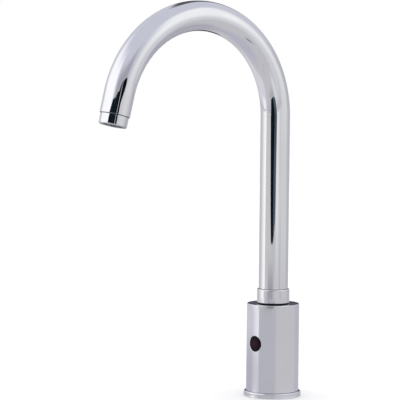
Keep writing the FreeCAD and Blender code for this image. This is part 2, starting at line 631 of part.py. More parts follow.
# ---- inlet strainer and check valve --------------------------------------------------------------
def inlet_strainer():
    """Perforated cup at the top of the inlet thread."""
    top = STRAINER_BOTTOM + STRAINER_HEIGHT
    plate_bottom = top - STRAINER_PLATE
    cup = rod(CARTRIDGE_RADIUS, STRAINER_BOTTOM, top)
    hollow = rod(CARTRIDGE_RADIUS - STRAINER_WALL, STRAINER_BOTTOM - OVERSHOOT, plate_bottom)
    tools = [hollow]
    for x, y in hexagonal_grid(STRAINER_PITCH, 1):
        tools.append(rod(STRAINER_HOLE_DIAMETER / 2, plate_bottom - OVERSHOOT, top + OVERSHOOT, x, y))
    return carved(cup, *tools).translate(BACK * INLET_OFFSET)


def check_valve_body():
    """Check valve's cartridge: seat below, spring bridge with flow windows above."""
    blank = rod(CARTRIDGE_RADIUS, CARTRIDGE_BOTTOM, CARTRIDGE_TOP)
    bridge_bottom = CARTRIDGE_TOP - CARTRIDGE_BRIDGE
    low = bridge_bottom - OVERSHOOT
    high = CARTRIDGE_TOP + OVERSHOOT
    seat = rod(CARTRIDGE_SEAT_DIAMETER / 2, CARTRIDGE_BOTTOM - OVERSHOOT, CARTRIDGE_SEAT_TOP)
    inner_radius = CARTRIDGE_RADIUS - CARTRIDGE_WALL
    room = rod(inner_radius, CARTRIDGE_SEAT_TOP, bridge_bottom)
    guide_radius = POPPET_STEM_DIAMETER / 2 + RUNNING_GAP
    guide = rod(guide_radius, low, high)
    groove = outer_seal_groove(CARTRIDGE_BORE_RADIUS, CARTRIDGE_SEAL_SECTION, check_seal_height())
    tools = [seat, room, guide, groove]
    window_circle = (guide_radius + inner_radius) / 2
    for x, y in on_circle(window_circle, evenly(CARTRIDGE_WINDOWS)):
        tools.append(rod(CARTRIDGE_WINDOW_DIAMETER / 2, low, high, x, y))
    return carved(blank, *tools).translate(BACK * INLET_OFFSET)


def check_seal_height():
    """Height of the sealing ring round the check valve's cartridge, level with its bridge."""
    return CARTRIDGE_TOP - CARTRIDGE_BRIDGE / 2


def check_seal():
    """Sealing ring round the check valve's cartridge."""
    ring = outer_seal(CARTRIDGE_BORE_RADIUS, CARTRIDGE_SEAL_SECTION, check_seal_height())
    return ring.translate(BACK * INLET_OFFSET)


def poppet_head_top():
    """Height of the shoulder that the check valve's spring presses on."""
    return CARTRIDGE_SEAT_TOP + POPPET_HEAD_HEIGHT


def check_poppet():
    """Mushroom-shaped poppet that lifts off the check valve's seat."""
    head = rod(POPPET_HEAD_DIAMETER / 2, CARTRIDGE_SEAT_TOP, poppet_head_top())
    stem = rod(POPPET_STEM_DIAMETER / 2, poppet_head_top(), CARTRIDGE_TOP)
    return joined(head, stem).translate(BACK * INLET_OFFSET)


def check_spring():
    """Spring between the poppet and the cartridge's bridge."""
    bridge_bottom = CARTRIDGE_TOP - CARTRIDGE_BRIDGE
    spring = coil_spring(CHECK_SPRING_DIAMETER / 2, CHECK_SPRING_WIRE, CHECK_SPRING_TURNS,
                         poppet_head_top(), bridge_bottom)
    return spring.translate(BACK * INLET_OFFSET)


# ---- riser ---------------------------------------------------------------------------------------
def riser_seal_heights():
    """Heights of the sealing rings near the riser's two ends."""
    lower = RISER_BOTTOM + RISER_ENTRY / 2
    upper = HEAD_BOTTOM + RISER_HEAD_ENTRY / 2
    return lower, upper


def riser_tube():
    """Tube that carries the water from the plug up to the valve."""
    return pipe(RISER_RADIUS, RISER_BORE_RADIUS, RISER_BOTTOM, RISER_TOP, 0, RISER_OFFSET)


def riser_seals():
    """Two sealing rings round the riser's ends."""
    rings = []
    for height in riser_seal_heights():
        middle_radius = RISER_RADIUS + SEAL_GAP + RISER_SEAL_SECTION / 2
        rings.append(seal_ring(middle_radius, RISER_SEAL_SECTION, height).translate(BACK * RISER_OFFSET))
    return Part.makeCompound(rings)


# ---- solenoid valve ------------------------------------------------------------------------------
def valve_screw_holes(bottom, top):
    """Clearance holes for the four screws that hold the valve together."""
    radius = VALVE_SCREW_DIAMETER / 2 + SLIDE_GAP
    places = on_circle(VALVE_SCREW_CIRCLE, VALVE_SCREW_ANGLES)
    return [rod(radius, bottom - OVERSHOOT, top + OVERSHOOT, x, y) for x, y in places]


def spigot_seal_height():
    """Height of the sealing ring on the valve head's spigot."""
    return SOCKET_BOTTOM + SPIGOT_HEIGHT / 2


def valve_head():
    """Upper half of the valve: inlet lobe, ring chamber, seat and the spigot into the socket."""
    disc = rod(HEAD_RADIUS, HEAD_BOTTOM, SOCKET_BOTTOM)
    spigot = rod(SOCKET_RADIUS - RUNNING_GAP, SOCKET_BOTTOM, SPIGOT_TOP)
    lobe = rod(RISER_BOSS_RADIUS, HEAD_BOTTOM, SOCKET_BOTTOM - HEAD_LOBE_TOP, 0, RISER_OFFSET)
    blank = joined(disc, spigot, inside_cavity(lobe))

    seat_outer_radius = SEAT_BORE / 2 + SEAT_WALL
    chamber_top = HEAD_BOTTOM + RING_CHAMBER_TOP
    chamber_radius = BEAD_INNER_DIAMETER / 2 + RUNNING_GAP
    bead_recess = rod(BEAD_OUTER_DIAMETER / 2, HEAD_BOTTOM - OVERSHOOT, BEAD_TOP)
    ring_chamber = pipe(chamber_radius, seat_outer_radius, BEAD_TOP, chamber_top)
    under_seat = rod(chamber_radius, BEAD_TOP - SEAL_GAP, SEAT_HEIGHT)
    outlet = rod(SEAT_BORE / 2, SEAT_HEIGHT, SPIGOT_TOP + OVERSHOOT)
    seal = outer_seal_groove(SOCKET_RADIUS, SPIGOT_SEAL_SECTION, spigot_seal_height())
    riser_socket = rod(RISER_SOCKET_RADIUS, HEAD_BOTTOM - OVERSHOOT, RISER_TOP, 0, RISER_OFFSET)
    riser_well = rod(RISER_BORE_RADIUS, RISER_TOP, chamber_top, 0, RISER_OFFSET)
    upper_seal = riser_seal_heights()[1]
    riser_groove = inner_seal_groove(RISER_RADIUS, RISER_SEAL_SECTION, upper_seal, RISER_OFFSET)
    passage_height = (RISER_TOP + chamber_top) / 2
    passage = level_rod(PASSAGE_DIAMETER / 2, seat_outer_radius, RISER_OFFSET, passage_height)
    tools = [bead_recess, ring_chamber, under_seat, outlet, seal]
    tools += [riser_socket, riser_well, riser_groove, passage]
    tools += valve_screw_holes(HEAD_BOTTOM, SOCKET_BOTTOM)
    return carved(blank, *tools)


def valve_head_seal():
    """Sealing ring between the valve head's spigot and the socket."""
    return outer_seal(SOCKET_RADIUS, SPIGOT_SEAL_SECTION, spigot_seal_height())


def valve_screws():
    """Four screws through the bonnet and the valve head into the body."""
    length = SOCKET_BOTTOM - BONNET_BOTTOM + VALVE_SCREW_REACH
    screws = []
    for x, y in on_circle(VALVE_SCREW_CIRCLE, VALVE_SCREW_ANGLES):
        screw = cap_screw(VALVE_SCREW_DIAMETER, VALVE_SCREW_HEAD_DIAMETER, VALVE_SCREW_HEAD_HEIGHT, length)
        screws.append(screw.translate(FreeCAD.Vector(x, y, BONNET_BOTTOM)))
    return Part.makeCompound(screws)


def diaphragm():
    """Rubber diaphragm: a bead at its rim, a slope that flexes and a flat middle under the seat."""
    bead_outer = BEAD_OUTER_DIAMETER / 2 - SLIDE_GAP
    bead_inner = BEAD_INNER_DIAMETER / 2
    slope_inner = bead_inner - MEMBRANE_RUN
    hole = MEMBRANE_HOLE_DIAMETER / 2
    low = HEAD_BOTTOM - MEMBRANE_THICKNESS / 4
    outline = [
        (hole, DISC_TOP), (slope_inner, DISC_TOP), (bead_inner, low), (bead_inner, BEAD_BOTTOM),
        (bead_outer, BEAD_BOTTOM), (bead_outer, BEAD_TOP), (bead_inner, BEAD_TOP),
        (slope_inner, SEAT_HEIGHT), (hole, SEAT_HEIGHT),
    ]
    return turned(outline)


def diaphragm_disc():
    """Stiff disc under the diaphragm, with the pilot nozzle below and its hub through the rubber."""
    pilot = PILOT_BORE / 2
    disc_radius = DISC_DIAMETER / 2
    nozzle_radius = NOZZLE_DIAMETER / 2
    hub_radius = MEMBRANE_HOLE_DIAMETER / 2 - RUNNING_GAP
    hub_top = SEAT_HEIGHT + HUB_HEIGHT
    outline = [
        (pilot, NOZZLE_BOTTOM), (nozzle_radius, NOZZLE_BOTTOM), (nozzle_radius, DISC_BOTTOM),
        (disc_radius, DISC_BOTTOM), (disc_radius, DISC_TOP), (hub_radius, DISC_TOP),
        (hub_radius, hub_top), (pilot, hub_top),
    ]
    return turned(outline)


def valve_bonnet():
    """Lower half of the valve: clamps the diaphragm and carries the armature tube."""
    blank = rod(HEAD_RADIUS, BONNET_BOTTOM, HEAD_BOTTOM)
    bead_recess = rod(BEAD_OUTER_DIAMETER / 2, BEAD_BOTTOM, HEAD_BOTTOM + OVERSHOOT)
    room = rod(BEAD_INNER_DIAMETER / 2 - RUNNING_GAP, TUBE_TOP_IN_BONNET, BEAD_BOTTOM)
    flange_radius = ARMATURE_FLANGE_DIAMETER / 2 + SLIDE_GAP
    flange_recess = rod(flange_radius, BONNET_BOTTOM - OVERSHOOT, BONNET_BOTTOM + ARMATURE_FLANGE_HEIGHT)
    hole = rod(ARMATURE_TUBE_RADIUS + SLIDE_GAP, BONNET_BOTTOM, TUBE_TOP_IN_BONNET + OVERSHOOT / 2)
    notch_radius = RISER_RADIUS + HOLE_GAP
    riser_notch = rod(notch_radius, BONNET_BOTTOM - OVERSHOOT, HEAD_BOTTOM + OVERSHOOT, 0, RISER_OFFSET)
    tools = [bead_recess, room, flange_recess, hole, riser_notch]
    tools += valve_screw_holes(BONNET_BOTTOM, HEAD_BOTTOM)
    return carved(blank, *tools)


def armature_tube():
    """Thin steel tube that guides the plunger, with a flange held in the bonnet."""
    flange_top = BONNET_BOTTOM + ARMATURE_FLANGE_HEIGHT
    outline = [
        (ARMATURE_BORE_RADIUS, YOKE_FLOOR), (ARMATURE_TUBE_RADIUS, YOKE_FLOOR),
        (ARMATURE_TUBE_RADIUS, BONNET_BOTTOM), (ARMATURE_FLANGE_DIAMETER / 2, BONNET_BOTTOM),
        (ARMATURE_FLANGE_DIAMETER / 2, flange_top), (ARMATURE_TUBE_RADIUS, flange_top),
        (ARMATURE_TUBE_RADIUS, TUBE_TOP_IN_BONNET), (ARMATURE_BORE_RADIUS, TUBE_TOP_IN_BONNET),
    ]
    return turned(outline)


def fixed_core():
    """Steel core that closes the armature tube, with a stub for the coil's nut."""
    core = rod(ARMATURE_BORE_RADIUS - THREAD_GAP, YOKE_FLOOR, CORE_TOP)
    stub = rod(CORE_STUB_DIAMETER / 2, YOKE_FLOOR - CORE_STUB_LENGTH, YOKE_FLOOR)
    return joined(core, stub)


def plunger():
    """Steel plunger with a pocket for its seat, a pocket for its spring and two water flutes."""
    radius = ARMATURE_BORE_RADIUS - RUNNING_GAP
    blank = rod(radius, PLUNGER_BOTTOM, PLUNGER_TOP)
    seat_bottom = NOZZLE_BOTTOM - PLUNGER_SEAT_HEIGHT
    seat_pocket = rod(PLUNGER_SEAT_DIAMETER / 2 + THREAD_GAP, seat_bottom, PLUNGER_TOP + OVERSHOOT)
    spring_top = CORE_TOP + PLUNGER_SPRING_LENGTH
    spring_pocket = rod(PLUNGER_SPRING_POCKET_DIAMETER / 2, PLUNGER_BOTTOM - OVERSHOOT, spring_top)
    tools = [seat_pocket, spring_pocket]
    for side in (-1, 1):
        corner_x = side * radius - PLUNGER_FLUTE_DEPTH
        corner = FreeCAD.Vector(corner_x, -PLUNGER_FLUTE / 2, PLUNGER_BOTTOM - OVERSHOOT)
        length = PLUNGER_LENGTH + 2 * OVERSHOOT
        tools.append(Part.makeBox(2 * PLUNGER_FLUTE_DEPTH, PLUNGER_FLUTE, length, corner))
    return carved(blank, *tools)


def plunger_seat():
    """Rubber seat in the plunger's top that closes the pilot nozzle."""
    return rod(PLUNGER_SEAT_DIAMETER / 2, NOZZLE_BOTTOM - PLUNGER_SEAT_HEIGHT, NOZZLE_BOTTOM)


def plunger_spring():
    """Spring between the fixed core and the plunger."""
    return coil_spring(PLUNGER_SPRING_DIAMETER / 2, PLUNGER_SPRING_WIRE, PLUNGER_SPRING_TURNS,
                       CORE_TOP, CORE_TOP + PLUNGER_SPRING_LENGTH)


def coil_yoke():
    """Folded steel strap round the coil that carries its magnetic field."""
    outer = centred_box(YOKE_WIDTH, YOKE_DEPTH, YOKE_BOTTOM, BONNET_BOTTOM)
    bends = [edge for edge in outer.Edges if abs(edge.tangentAt(edge.FirstParameter).y) > 0.5]
    outer = outer.makeFillet(YOKE_BEND, bends)
    inner_width = YOKE_WIDTH - 2 * YOKE_THICKNESS
    inner = centred_box(inner_width, YOKE_DEPTH + 2 * OVERSHOOT, YOKE_FLOOR, BOBBIN_TOP)
    top_hole = rod(ARMATURE_TUBE_RADIUS + SLIDE_GAP, BOBBIN_TOP - OVERSHOOT, BONNET_BOTTOM + OVERSHOOT)
    stub_hole = rod(CORE_STUB_DIAMETER / 2 + SLIDE_GAP, YOKE_BOTTOM - OVERSHOOT, YOKE_FLOOR + OVERSHOOT)
    return carved(outer, inner, top_hole, stub_hole)


def latch_magnet():
    """Ring magnet that holds the valve open between pulses."""
    return pipe(MAGNET_DIAMETER / 2, ARMATURE_TUBE_RADIUS + SLIDE_GAP, YOKE_FLOOR, MAGNET_TOP)


def coil_bobbin():
    """Plastic bobbin with a flange at each end."""
    bore = ARMATURE_TUBE_RADIUS + SLIDE_GAP
    hub = bore + BOBBIN_WALL
    flange = BOBBIN_FLANGE_DIAMETER / 2
    low = MAGNET_TOP + BOBBIN_FLANGE
    high = BOBBIN_TOP - BOBBIN_FLANGE
    outline = [
        (bore, MAGNET_TOP), (flange, MAGNET_TOP), (flange, low), (hub, low),
        (hub, high), (flange, high), (flange, BOBBIN_TOP), (bore, BOBBIN_TOP),
    ]
    return turned(outline)


def coil():
    """Winding on the bobbin, taped over."""
    hub = ARMATURE_TUBE_RADIUS + SLIDE_GAP + BOBBIN_WALL
    return pipe(COIL_DIAMETER / 2, hub, MAGNET_TOP + BOBBIN_FLANGE, BOBBIN_TOP - BOBBIN_FLANGE)


def coil_nut():
    """Hexagonal nut that holds the coil and its yoke on the core's stub."""
    bottom = YOKE_BOTTOM - COIL_NUT_HEIGHT
    hole = rod(CORE_STUB_DIAMETER / 2 + THREAD_GAP, bottom - OVERSHOOT, YOKE_BOTTOM + OVERSHOOT)
    return carved(hexagon(COIL_NUT_WIDTH, bottom, YOKE_BOTTOM), hole)


# ---- body casting --------------------------------------------------------------------------------
def body_shell():
    """Turned body: outer wall, top and the spout's socket hanging from the top."""
    foot_radius = BODY_RADIUS - JOINT_LINE_DEPTH
    foot_top = PLATE_HEIGHT + JOINT_LINE_HEIGHT
    cap_bottom = BODY_TOP - BODY_CAP
    outline = [
        (CAVITY_RADIUS, PLATE_HEIGHT), (foot_radius, PLATE_HEIGHT), (foot_radius, foot_top),
        (BODY_RADIUS, foot_top), (BODY_RADIUS, BODY_TOP), (SOCKET_RADIUS, BODY_TOP),
        (SOCKET_RADIUS, SOCKET_BOTTOM), (SOCKET_OUTER_RADIUS, SOCKET_BOTTOM),
        (SOCKET_OUTER_RADIUS, cap_bottom), (CAVITY_RADIUS, cap_bottom),
    ]
    shell = turned(outline)
    shell = shell.makeFillet(BODY_TOP_ROUND, circle_edges(shell, BODY_RADIUS, BODY_TOP))
    corners = circle_edges(shell, CAVITY_RADIUS, cap_bottom)
    corners += circle_edges(shell, SOCKET_OUTER_RADIUS, cap_bottom)
    return shell.makeFillet(CAVITY_ROUND, corners)


def sensor_screw_heights():
    """Heights of the two screws above and below the sensor."""
    return SENSOR_HEIGHT - SENSOR_SCREW_OFFSET, SENSOR_HEIGHT + SENSOR_SCREW_OFFSET


def body_bosses():
    """Bosses inside the body: lugs for the plug, pad and bosses for the sensor, grub screw boss."""
    solids = []
    for x, y in on_circle(LUG_CIRCLE, PLUG_SCREW_ANGLES):
        solids.append(rod(LUG_DIAMETER / 2, PLUG_TOP, PLUG_TOP + LUG_HEIGHT, x, y))
    solids.append(level_rod(SENSOR_PAD_DIAMETER / 2, -BODY_RADIUS, SENSOR_SEAT, SENSOR_HEIGHT))
    for height in sensor_screw_heights():
        solids.append(level_rod(SENSOR_EAR_DIAMETER / 2, -BODY_RADIUS, SENSOR_SEAT, height))
    in_socket_wall = SOCKET_RADIUS + SOCKET_WALL / 2
    solids.append(level_rod(GRUB_BOSS_DIAMETER / 2, in_socket_wall, BODY_RADIUS, GRUB_SCREW_HEIGHT))
    in_wall = rod(BODY_RADIUS - BODY_WALL / 2, PLATE_HEIGHT, BODY_TOP)
    return [solid.common(in_wall) for solid in solids]


def sensor_pocket():
    """Cutting tools that keep the room behind the sensor's seat free."""
    flange_radius = SENSOR_FLANGE_DIAMETER / 2 + HOLE_GAP
    tools = [level_rod(flange_radius, SENSOR_SEAT, SENSOR_SCREW_BACK, SENSOR_HEIGHT)]
    for height in sensor_screw_heights():
        ear_radius = SENSOR_EAR_DIAMETER / 2 + HOLE_GAP
        tools.append(level_rod(ear_radius, SENSOR_SEAT, SENSOR_SCREW_BACK, height))
    return tools


def body_holes():
    """Cutting tools for every hole in the body."""
    tools = []
    for x, y in on_circle(LUG_CIRCLE, PLUG_SCREW_ANGLES):
        radius = PLUG_SCREW_DIAMETER / 2 + THREAD_GAP
        tools.append(rod(radius, PLUG_TOP - OVERSHOOT, PLUG_TOP + PLUG_SCREW_REACH + OVERSHOOT, x, y))
    for x, y in on_circle(VALVE_SCREW_CIRCLE, VALVE_SCREW_ANGLES):
        radius = VALVE_SCREW_DIAMETER / 2 + THREAD_GAP
        top = SOCKET_BOTTOM + VALVE_SCREW_REACH + OVERSHOOT
        tools.append(rod(radius, SOCKET_BOTTOM - OVERSHOOT, top, x, y))
    for height in sensor_screw_heights():
        radius = SENSOR_SCREW_DIAMETER / 2 + THREAD_GAP
        tools.append(level_rod(radius, SENSOR_SCREW_TIP - SLIDE_GAP, SENSOR_FLANGE_BACK, height))
    grub_radius = GRUB_SCREW_DIAMETER / 2 + THREAD_GAP
    tools.append(level_rod(grub_radius, SOCKET_RADIUS / 2, BODY_RADIUS + OVERSHOOT, GRUB_SCREW_HEIGHT))
    return tools


def body_casting():
    """Whole body casting, with a chamfered round window for the sensor."""
    blank = joined(body_shell(), *body_bosses())
    window_radius = SENSOR_WINDOW_DIAMETER / 2
    window = level_rod(window_radius, -BODY_RADIUS - OVERSHOOT, SENSOR_FLANGE_FRONT, SENSOR_HEIGHT)
    casting = carved(blank, window, *sensor_pocket(), *body_holes())
    rim = [edge for edge in casting.Edges if is_window_rim(edge, window_radius)]
    return casting.makeChamfer(SENSOR_WINDOW_CHAMFER, rim)


def is_window_rim(edge, window_radius):
    """True for the edge where the sensor's window opens through the body's outer face."""
    box = edge.BoundBox
    in_front = box.YMax < -math.sqrt(BODY_RADIUS ** 2 - window_radius ** 2) + SEAL_GAP
    level = abs((box.ZMin + box.ZMax) / 2 - SENSOR_HEIGHT) < OVERSHOOT
    round_window = abs(box.ZLength - 2 * window_radius) < OVERSHOOT
    return in_front and level and round_window


# ---- sensor module -------------------------------------------------------------------------------
def inside_body_face(solid):
    """Trims a sensor piece to the curve of the body, a little behind its outer face."""
    low = SENSOR_HEIGHT - 2 * SENSOR_SCREW_OFFSET
    high = SENSOR_HEIGHT + 2 * SENSOR_SCREW_OFFSET
    return solid.common(rod(BODY_RADIUS - SENSOR_RECESS, low, high))


def eared_flange(front, back):
    """Round flange with an ear and a screw hole above and below, shared by the housing and gasket."""
    ear_radius = SENSOR_EAR_DIAMETER / 2
    solids = [level_rod(SENSOR_FLANGE_DIAMETER / 2, front, back, SENSOR_HEIGHT)]
    holes = []
    for height in sensor_screw_heights():
        hole_radius = SENSOR_SCREW_DIAMETER / 2 + SLIDE_GAP
        solids.append(level_rod(ear_radius, front, back, height))
        holes.append(level_rod(hole_radius, front - OVERSHOOT, back + OVERSHOOT, height))
    corner = FreeCAD.Vector(-ear_radius, front, SENSOR_HEIGHT - SENSOR_SCREW_OFFSET)
    solids.append(Part.makeBox(2 * ear_radius, back - front, 2 * SENSOR_SCREW_OFFSET, corner))
    return carved(joined(*solids), *holes)


def sensor_housing():
    """Black cup that holds the lens and the electronics, with two screw ears."""
    cup = level_rod(SENSOR_HOUSING_RADIUS, -BODY_RADIUS, SENSOR_HOUSING_BACK, SENSOR_HEIGHT)
    blank = joined(cup, eared_flange(SENSOR_FLANGE_FRONT, SENSOR_FLANGE_BACK))
    lens_seat_radius = SENSOR_LENS_RADIUS + THREAD_GAP
    lens_seat = level_rod(lens_seat_radius, -BODY_RADIUS - OVERSHOOT, SENSOR_LENS_BACK, SENSOR_HEIGHT)
    room = level_rod(SENSOR_INNER_RADIUS, SENSOR_LENS_BACK, BOARD_BACK, SENSOR_HEIGHT)
    return inside_body_face(carved(blank, lens_seat, room))


def sensor_lens():
    """Dark lens, its face curved like the body."""
    return inside_body_face(level_rod(SENSOR_LENS_RADIUS, -BODY_RADIUS, SENSOR_LENS_BACK, SENSOR_HEIGHT))


def sensor_gasket():
    """Rubber ring between the housing's flange and the body's pad."""
    bore_radius = SENSOR_WINDOW_DIAMETER / 2
    bore = level_rod(bore_radius, SENSOR_SEAT - OVERSHOOT, SENSOR_FLANGE_FRONT + OVERSHOOT, SENSOR_HEIGHT)
    return carved(eared_flange(SENSOR_SEAT, SENSOR_FLANGE_FRONT), bore)


def sensor_screws():
    """Two screws that hold the sensor's housing to the body."""
    length = SENSOR_FLANGE_BACK - SENSOR_SCREW_TIP
    screws = []
    for height in sensor_screw_heights():
        screw = cap_screw(SENSOR_SCREW_DIAMETER, SENSOR_SCREW_HEAD_DIAMETER,
                          SENSOR_SCREW_HEAD_HEIGHT, length)
        screw.rotate(ORIGIN, RIGHT, 90)
        screws.append(screw.translate(FreeCAD.Vector(0, SENSOR_FLANGE_BACK, height)))
    return Part.makeCompound(screws)


def sensor_board():
    """Round circuit board at the back of the housing."""
    return level_rod(SENSOR_INNER_RADIUS - SLIDE_GAP, BOARD_FRONT, BOARD_BACK, SENSOR_HEIGHT)


def diode(x):
    """Infrared diode with a domed end, on the circuit board."""
    radius = DIODE_DIAMETER / 2
    dome_centre = BOARD_FRONT - DIODE_BODY_LENGTH
    body = level_rod(radius, dome_centre, BOARD_FRONT, SENSOR_HEIGHT, x)
    ball = Part.makeSphere(radius, FreeCAD.Vector(x, dome_centre, SENSOR_HEIGHT))
    in_front = level_rod(DIODE_DIAMETER, dome_centre - DIODE_DIAMETER, dome_centre, SENSOR_HEIGHT, x)
    return joined(body, ball.common(in_front))


def ir_emitter():
    """Infrared light source."""
    return diode(-DIODE_SPACING / 2)


def ir_receiver():
    """Infrared light detector."""
    return diode(DIODE_SPACING / 2)


def status_led():
    """Small signal light below the diodes."""
    corner = FreeCAD.Vector(-STATUS_LED_SIZE / 2, BOARD_FRONT - STATUS_LED_HEIGHT,
                            SENSOR_HEIGHT - STATUS_LED_DROP - STATUS_LED_SIZE / 2)
    return Part.makeBox(STATUS_LED_SIZE, STATUS_LED_HEIGHT, STATUS_LED_SIZE, corner)


# ---- spout ---------------------------------------------------------------------------------------
def spout_grub_screw():
    """Set screw in the back of the body, whose point keeps the spout's foot in its socket."""
    thread = rod(GRUB_SCREW_DIAMETER / 2, GRUB_SCREW_POINT_LENGTH, GRUB_SCREW_LENGTH)
    point = rod(GRUB_SCREW_POINT_DIAMETER / 2, 0, GRUB_SCREW_POINT_LENGTH)
    socket_bottom = GRUB_SCREW_LENGTH - 2 * SOCKET_HEAD_DEPTH
    socket = hexagon(GRUB_SCREW_DIAMETER / 2, socket_bottom, GRUB_SCREW_LENGTH + OVERSHOOT)
    screw = carved(joined(thread, point), socket)
    screw.rotate(ORIGIN, RIGHT, -90)
    return screw.translate(FreeCAD.Vector(0, GRUB_POINT_TIP, GRUB_SCREW_HEIGHT))


def glide_ring():
    """Black plastic ring that the spout turns on."""
    return pipe(GLIDE_RING_DIAMETER / 2, FOOT_RADIUS + GLIDE_RING_GAP, BODY_TOP, FOOT_FLANGE_BOTTOM)


def foot_seal_heights():
    """Heights of the two sealing rings on the spout's foot."""
    return FOOT_BOTTOM + FOOT_SEAL_INSET, FOOT_FLANGE_BOTTOM - FOOT_SEAL_INSET - BODY_TOP_ROUND


def spout_foot():
    """Turned brass foot: seals and retaining groove below, flange, and the end brazed in the tube."""
    lower = rod(FOOT_RADIUS, FOOT_BOTTOM, FOOT_FLANGE_BOTTOM)
    lower = lower.makeChamfer(FOOT_CHAMFER, circle_edges(lower, FOOT_RADIUS, FOOT_BOTTOM))
    flange = rod(TUBE_RADIUS, FOOT_FLANGE_BOTTOM, TUBE_BOTTOM)
    upper_radius = TUBE_BORE_RADIUS - THREAD_GAP
    upper_top = TUBE_BOTTOM + FOOT_ENTRY
    upper = rod(upper_radius, TUBE_BOTTOM, upper_top)
    upper = upper.makeChamfer(FOOT_CHAMFER, circle_edges(upper, upper_radius, upper_top))
    blank = joined(lower, flange, upper)
    bore = rod(FOOT_BORE / 2, FOOT_BOTTOM - OVERSHOOT, upper_top + OVERSHOOT)
    groove_half = GRUB_SCREW_POINT_DIAMETER / 2 + GRUB_POINT_GAP
    groove_low = GRUB_SCREW_HEIGHT - groove_half
    groove_high = GRUB_SCREW_HEIGHT + groove_half
    retaining_groove = pipe(SOCKET_RADIUS + OVERSHOOT, GROOVE_BOTTOM_RADIUS, groove_low, groove_high)
    tools = [bore, retaining_groove]
    for height in foot_seal_heights():
        tools.append(outer_seal_groove(FOOT_SEAL_BORE_RADIUS, FOOT_SEAL_SECTION, height))
    return carved(blank, *tools)


def spout_seals():
    """Two sealing rings between the spout's foot and the socket that it turns in."""
    rings = [outer_seal(FOOT_SEAL_BORE_RADIUS, FOOT_SEAL_SECTION, height) for height in foot_seal_heights()]
    return Part.makeCompound(rings)


def spout_collar():
    """Chromed sleeve round the foot of the tube, chamfered at its top."""
    radius = COLLAR_DIAMETER / 2
    top = FOOT_FLANGE_BOTTOM + COLLAR_HEIGHT
    sleeve = rod(radius, FOOT_FLANGE_BOTTOM, top)
    sleeve = sleeve.makeChamfer(COLLAR_CHAMFER, circle_edges(sleeve, radius, top))
    bore = rod(TUBE_RADIUS + SLIDE_GAP, FOOT_FLANGE_BOTTOM - OVERSHOOT, top + OVERSHOOT)
    return carved(sleeve, bore)


def tube_section():
    """Ring-shaped section of the spout's tube at the start of its bend."""
    centre = FreeCAD.Vector(0, 0, BEND_START_HEIGHT)
    outer = Part.Wire(Part.makeCircle(TUBE_RADIUS, centre, UP))
    inner = Part.Wire(Part.makeCircle(TUBE_BORE_RADIUS, centre, UP))
    return Part.Face([outer, inner])


def outlet_place():
    """Place of the tube's open end: its Z axis is the way the water leaves."""
    bend_centre = FreeCAD.Vector(0, -BEND_RADIUS, BEND_START_HEIGHT)
    turn = FreeCAD.Rotation(RIGHT, BEND_ANGLE)
    bend_end = bend_centre + turn.multVec(BACK * BEND_RADIUS)
    flow = turn.multVec(UP)
    return FreeCAD.Placement(bend_end + flow * TAIL_LENGTH, turn)


def spout_tube():
    """Swan-neck tube: upright leg, one long bend and a short straight tail."""
    section = tube_section()
    leg = section.extrude(UP * (TUBE_BOTTOM - BEND_START_HEIGHT))
    bend_centre = FreeCAD.Vector(0, -BEND_RADIUS, BEND_START_HEIGHT)
    bend = section.revolve(bend_centre, RIGHT, BEND_ANGLE)
    tail = pipe(TUBE_RADIUS, TUBE_BORE_RADIUS, -TAIL_LENGTH, 0)
    tail.Placement = outlet_place()
    return leg.fuse([bend, tail])


def outlet_bush():
    """Threaded bush brazed inside the tube's open end, with a shoulder for the washer."""
    thread = BUSH_THREAD_RADIUS
    shoulder = thread - BUSH_SHOULDER_WIDTH
    outline = [
        (shoulder, -BUSH_LENGTH), (BUSH_RADIUS, -BUSH_LENGTH), (BUSH_RADIUS, 0),
        (thread, 0), (thread, BUSH_SHOULDER_BOTTOM), (shoulder, BUSH_SHOULDER_BOTTOM),
    ]
    return turned(outline)


def aerator_washer():
    """Flat rubber ring between the bush's shoulder and the aerator's neck."""
    return pipe(NECK_RADIUS, NECK_RADIUS - WASHER_WIDTH, BUSH_SHOULDER_BOTTOM, -AERATOR_NECK_LENGTH)


def aerator_housing():
    """Chromed housing: threaded neck, groove at the joint, barrel and an inner lip at the mouth."""
    barrel = AERATOR_DIAMETER / 2
    groove = barrel - AERATOR_GROOVE_DEPTH
    bore = AERATOR_BORE_RADIUS
    mouth = bore - AERATOR_LIP_WIDTH
    outline = [
        (bore, -AERATOR_NECK_LENGTH), (NECK_RADIUS, -AERATOR_NECK_LENGTH), (NECK_RADIUS, 0),
        (groove, 0), (groove, AERATOR_GROOVE_WIDTH), (barrel, AERATOR_GROOVE_WIDTH),
        (barrel, AERATOR_LENGTH - AERATOR_CHAMFER), (barrel - AERATOR_CHAMFER, AERATOR_LENGTH),
        (mouth, AERATOR_LENGTH), (mouth, AERATOR_LIP_TOP), (bore, AERATOR_LIP_TOP),
    ]
    return turned(outline)


def cellular_disc(radius, cell, wall, rings, bottom, top):
    """Disc with a honeycomb of six-sided holes."""
    tools = []
    for x, y in hexagonal_grid(cell + wall, rings):
        hole = hexagon(cell, bottom - OVERSHOOT, top + OVERSHOOT)
        hole.rotate(ORIGIN, UP, 30)
        tools.append(hole.translate(FreeCAD.Vector(x, y, 0)))
    return carved(rod(radius, bottom, top), *tools)


def aerator_strainer():
    """Perforated disc that keeps grit out of the aerator."""
    return cellular_disc(INSERT_RADIUS, MESH_CELL, MESH_WALL, MESH_RINGS, -AERATOR_NECK_LENGTH, MESH_BOTTOM)


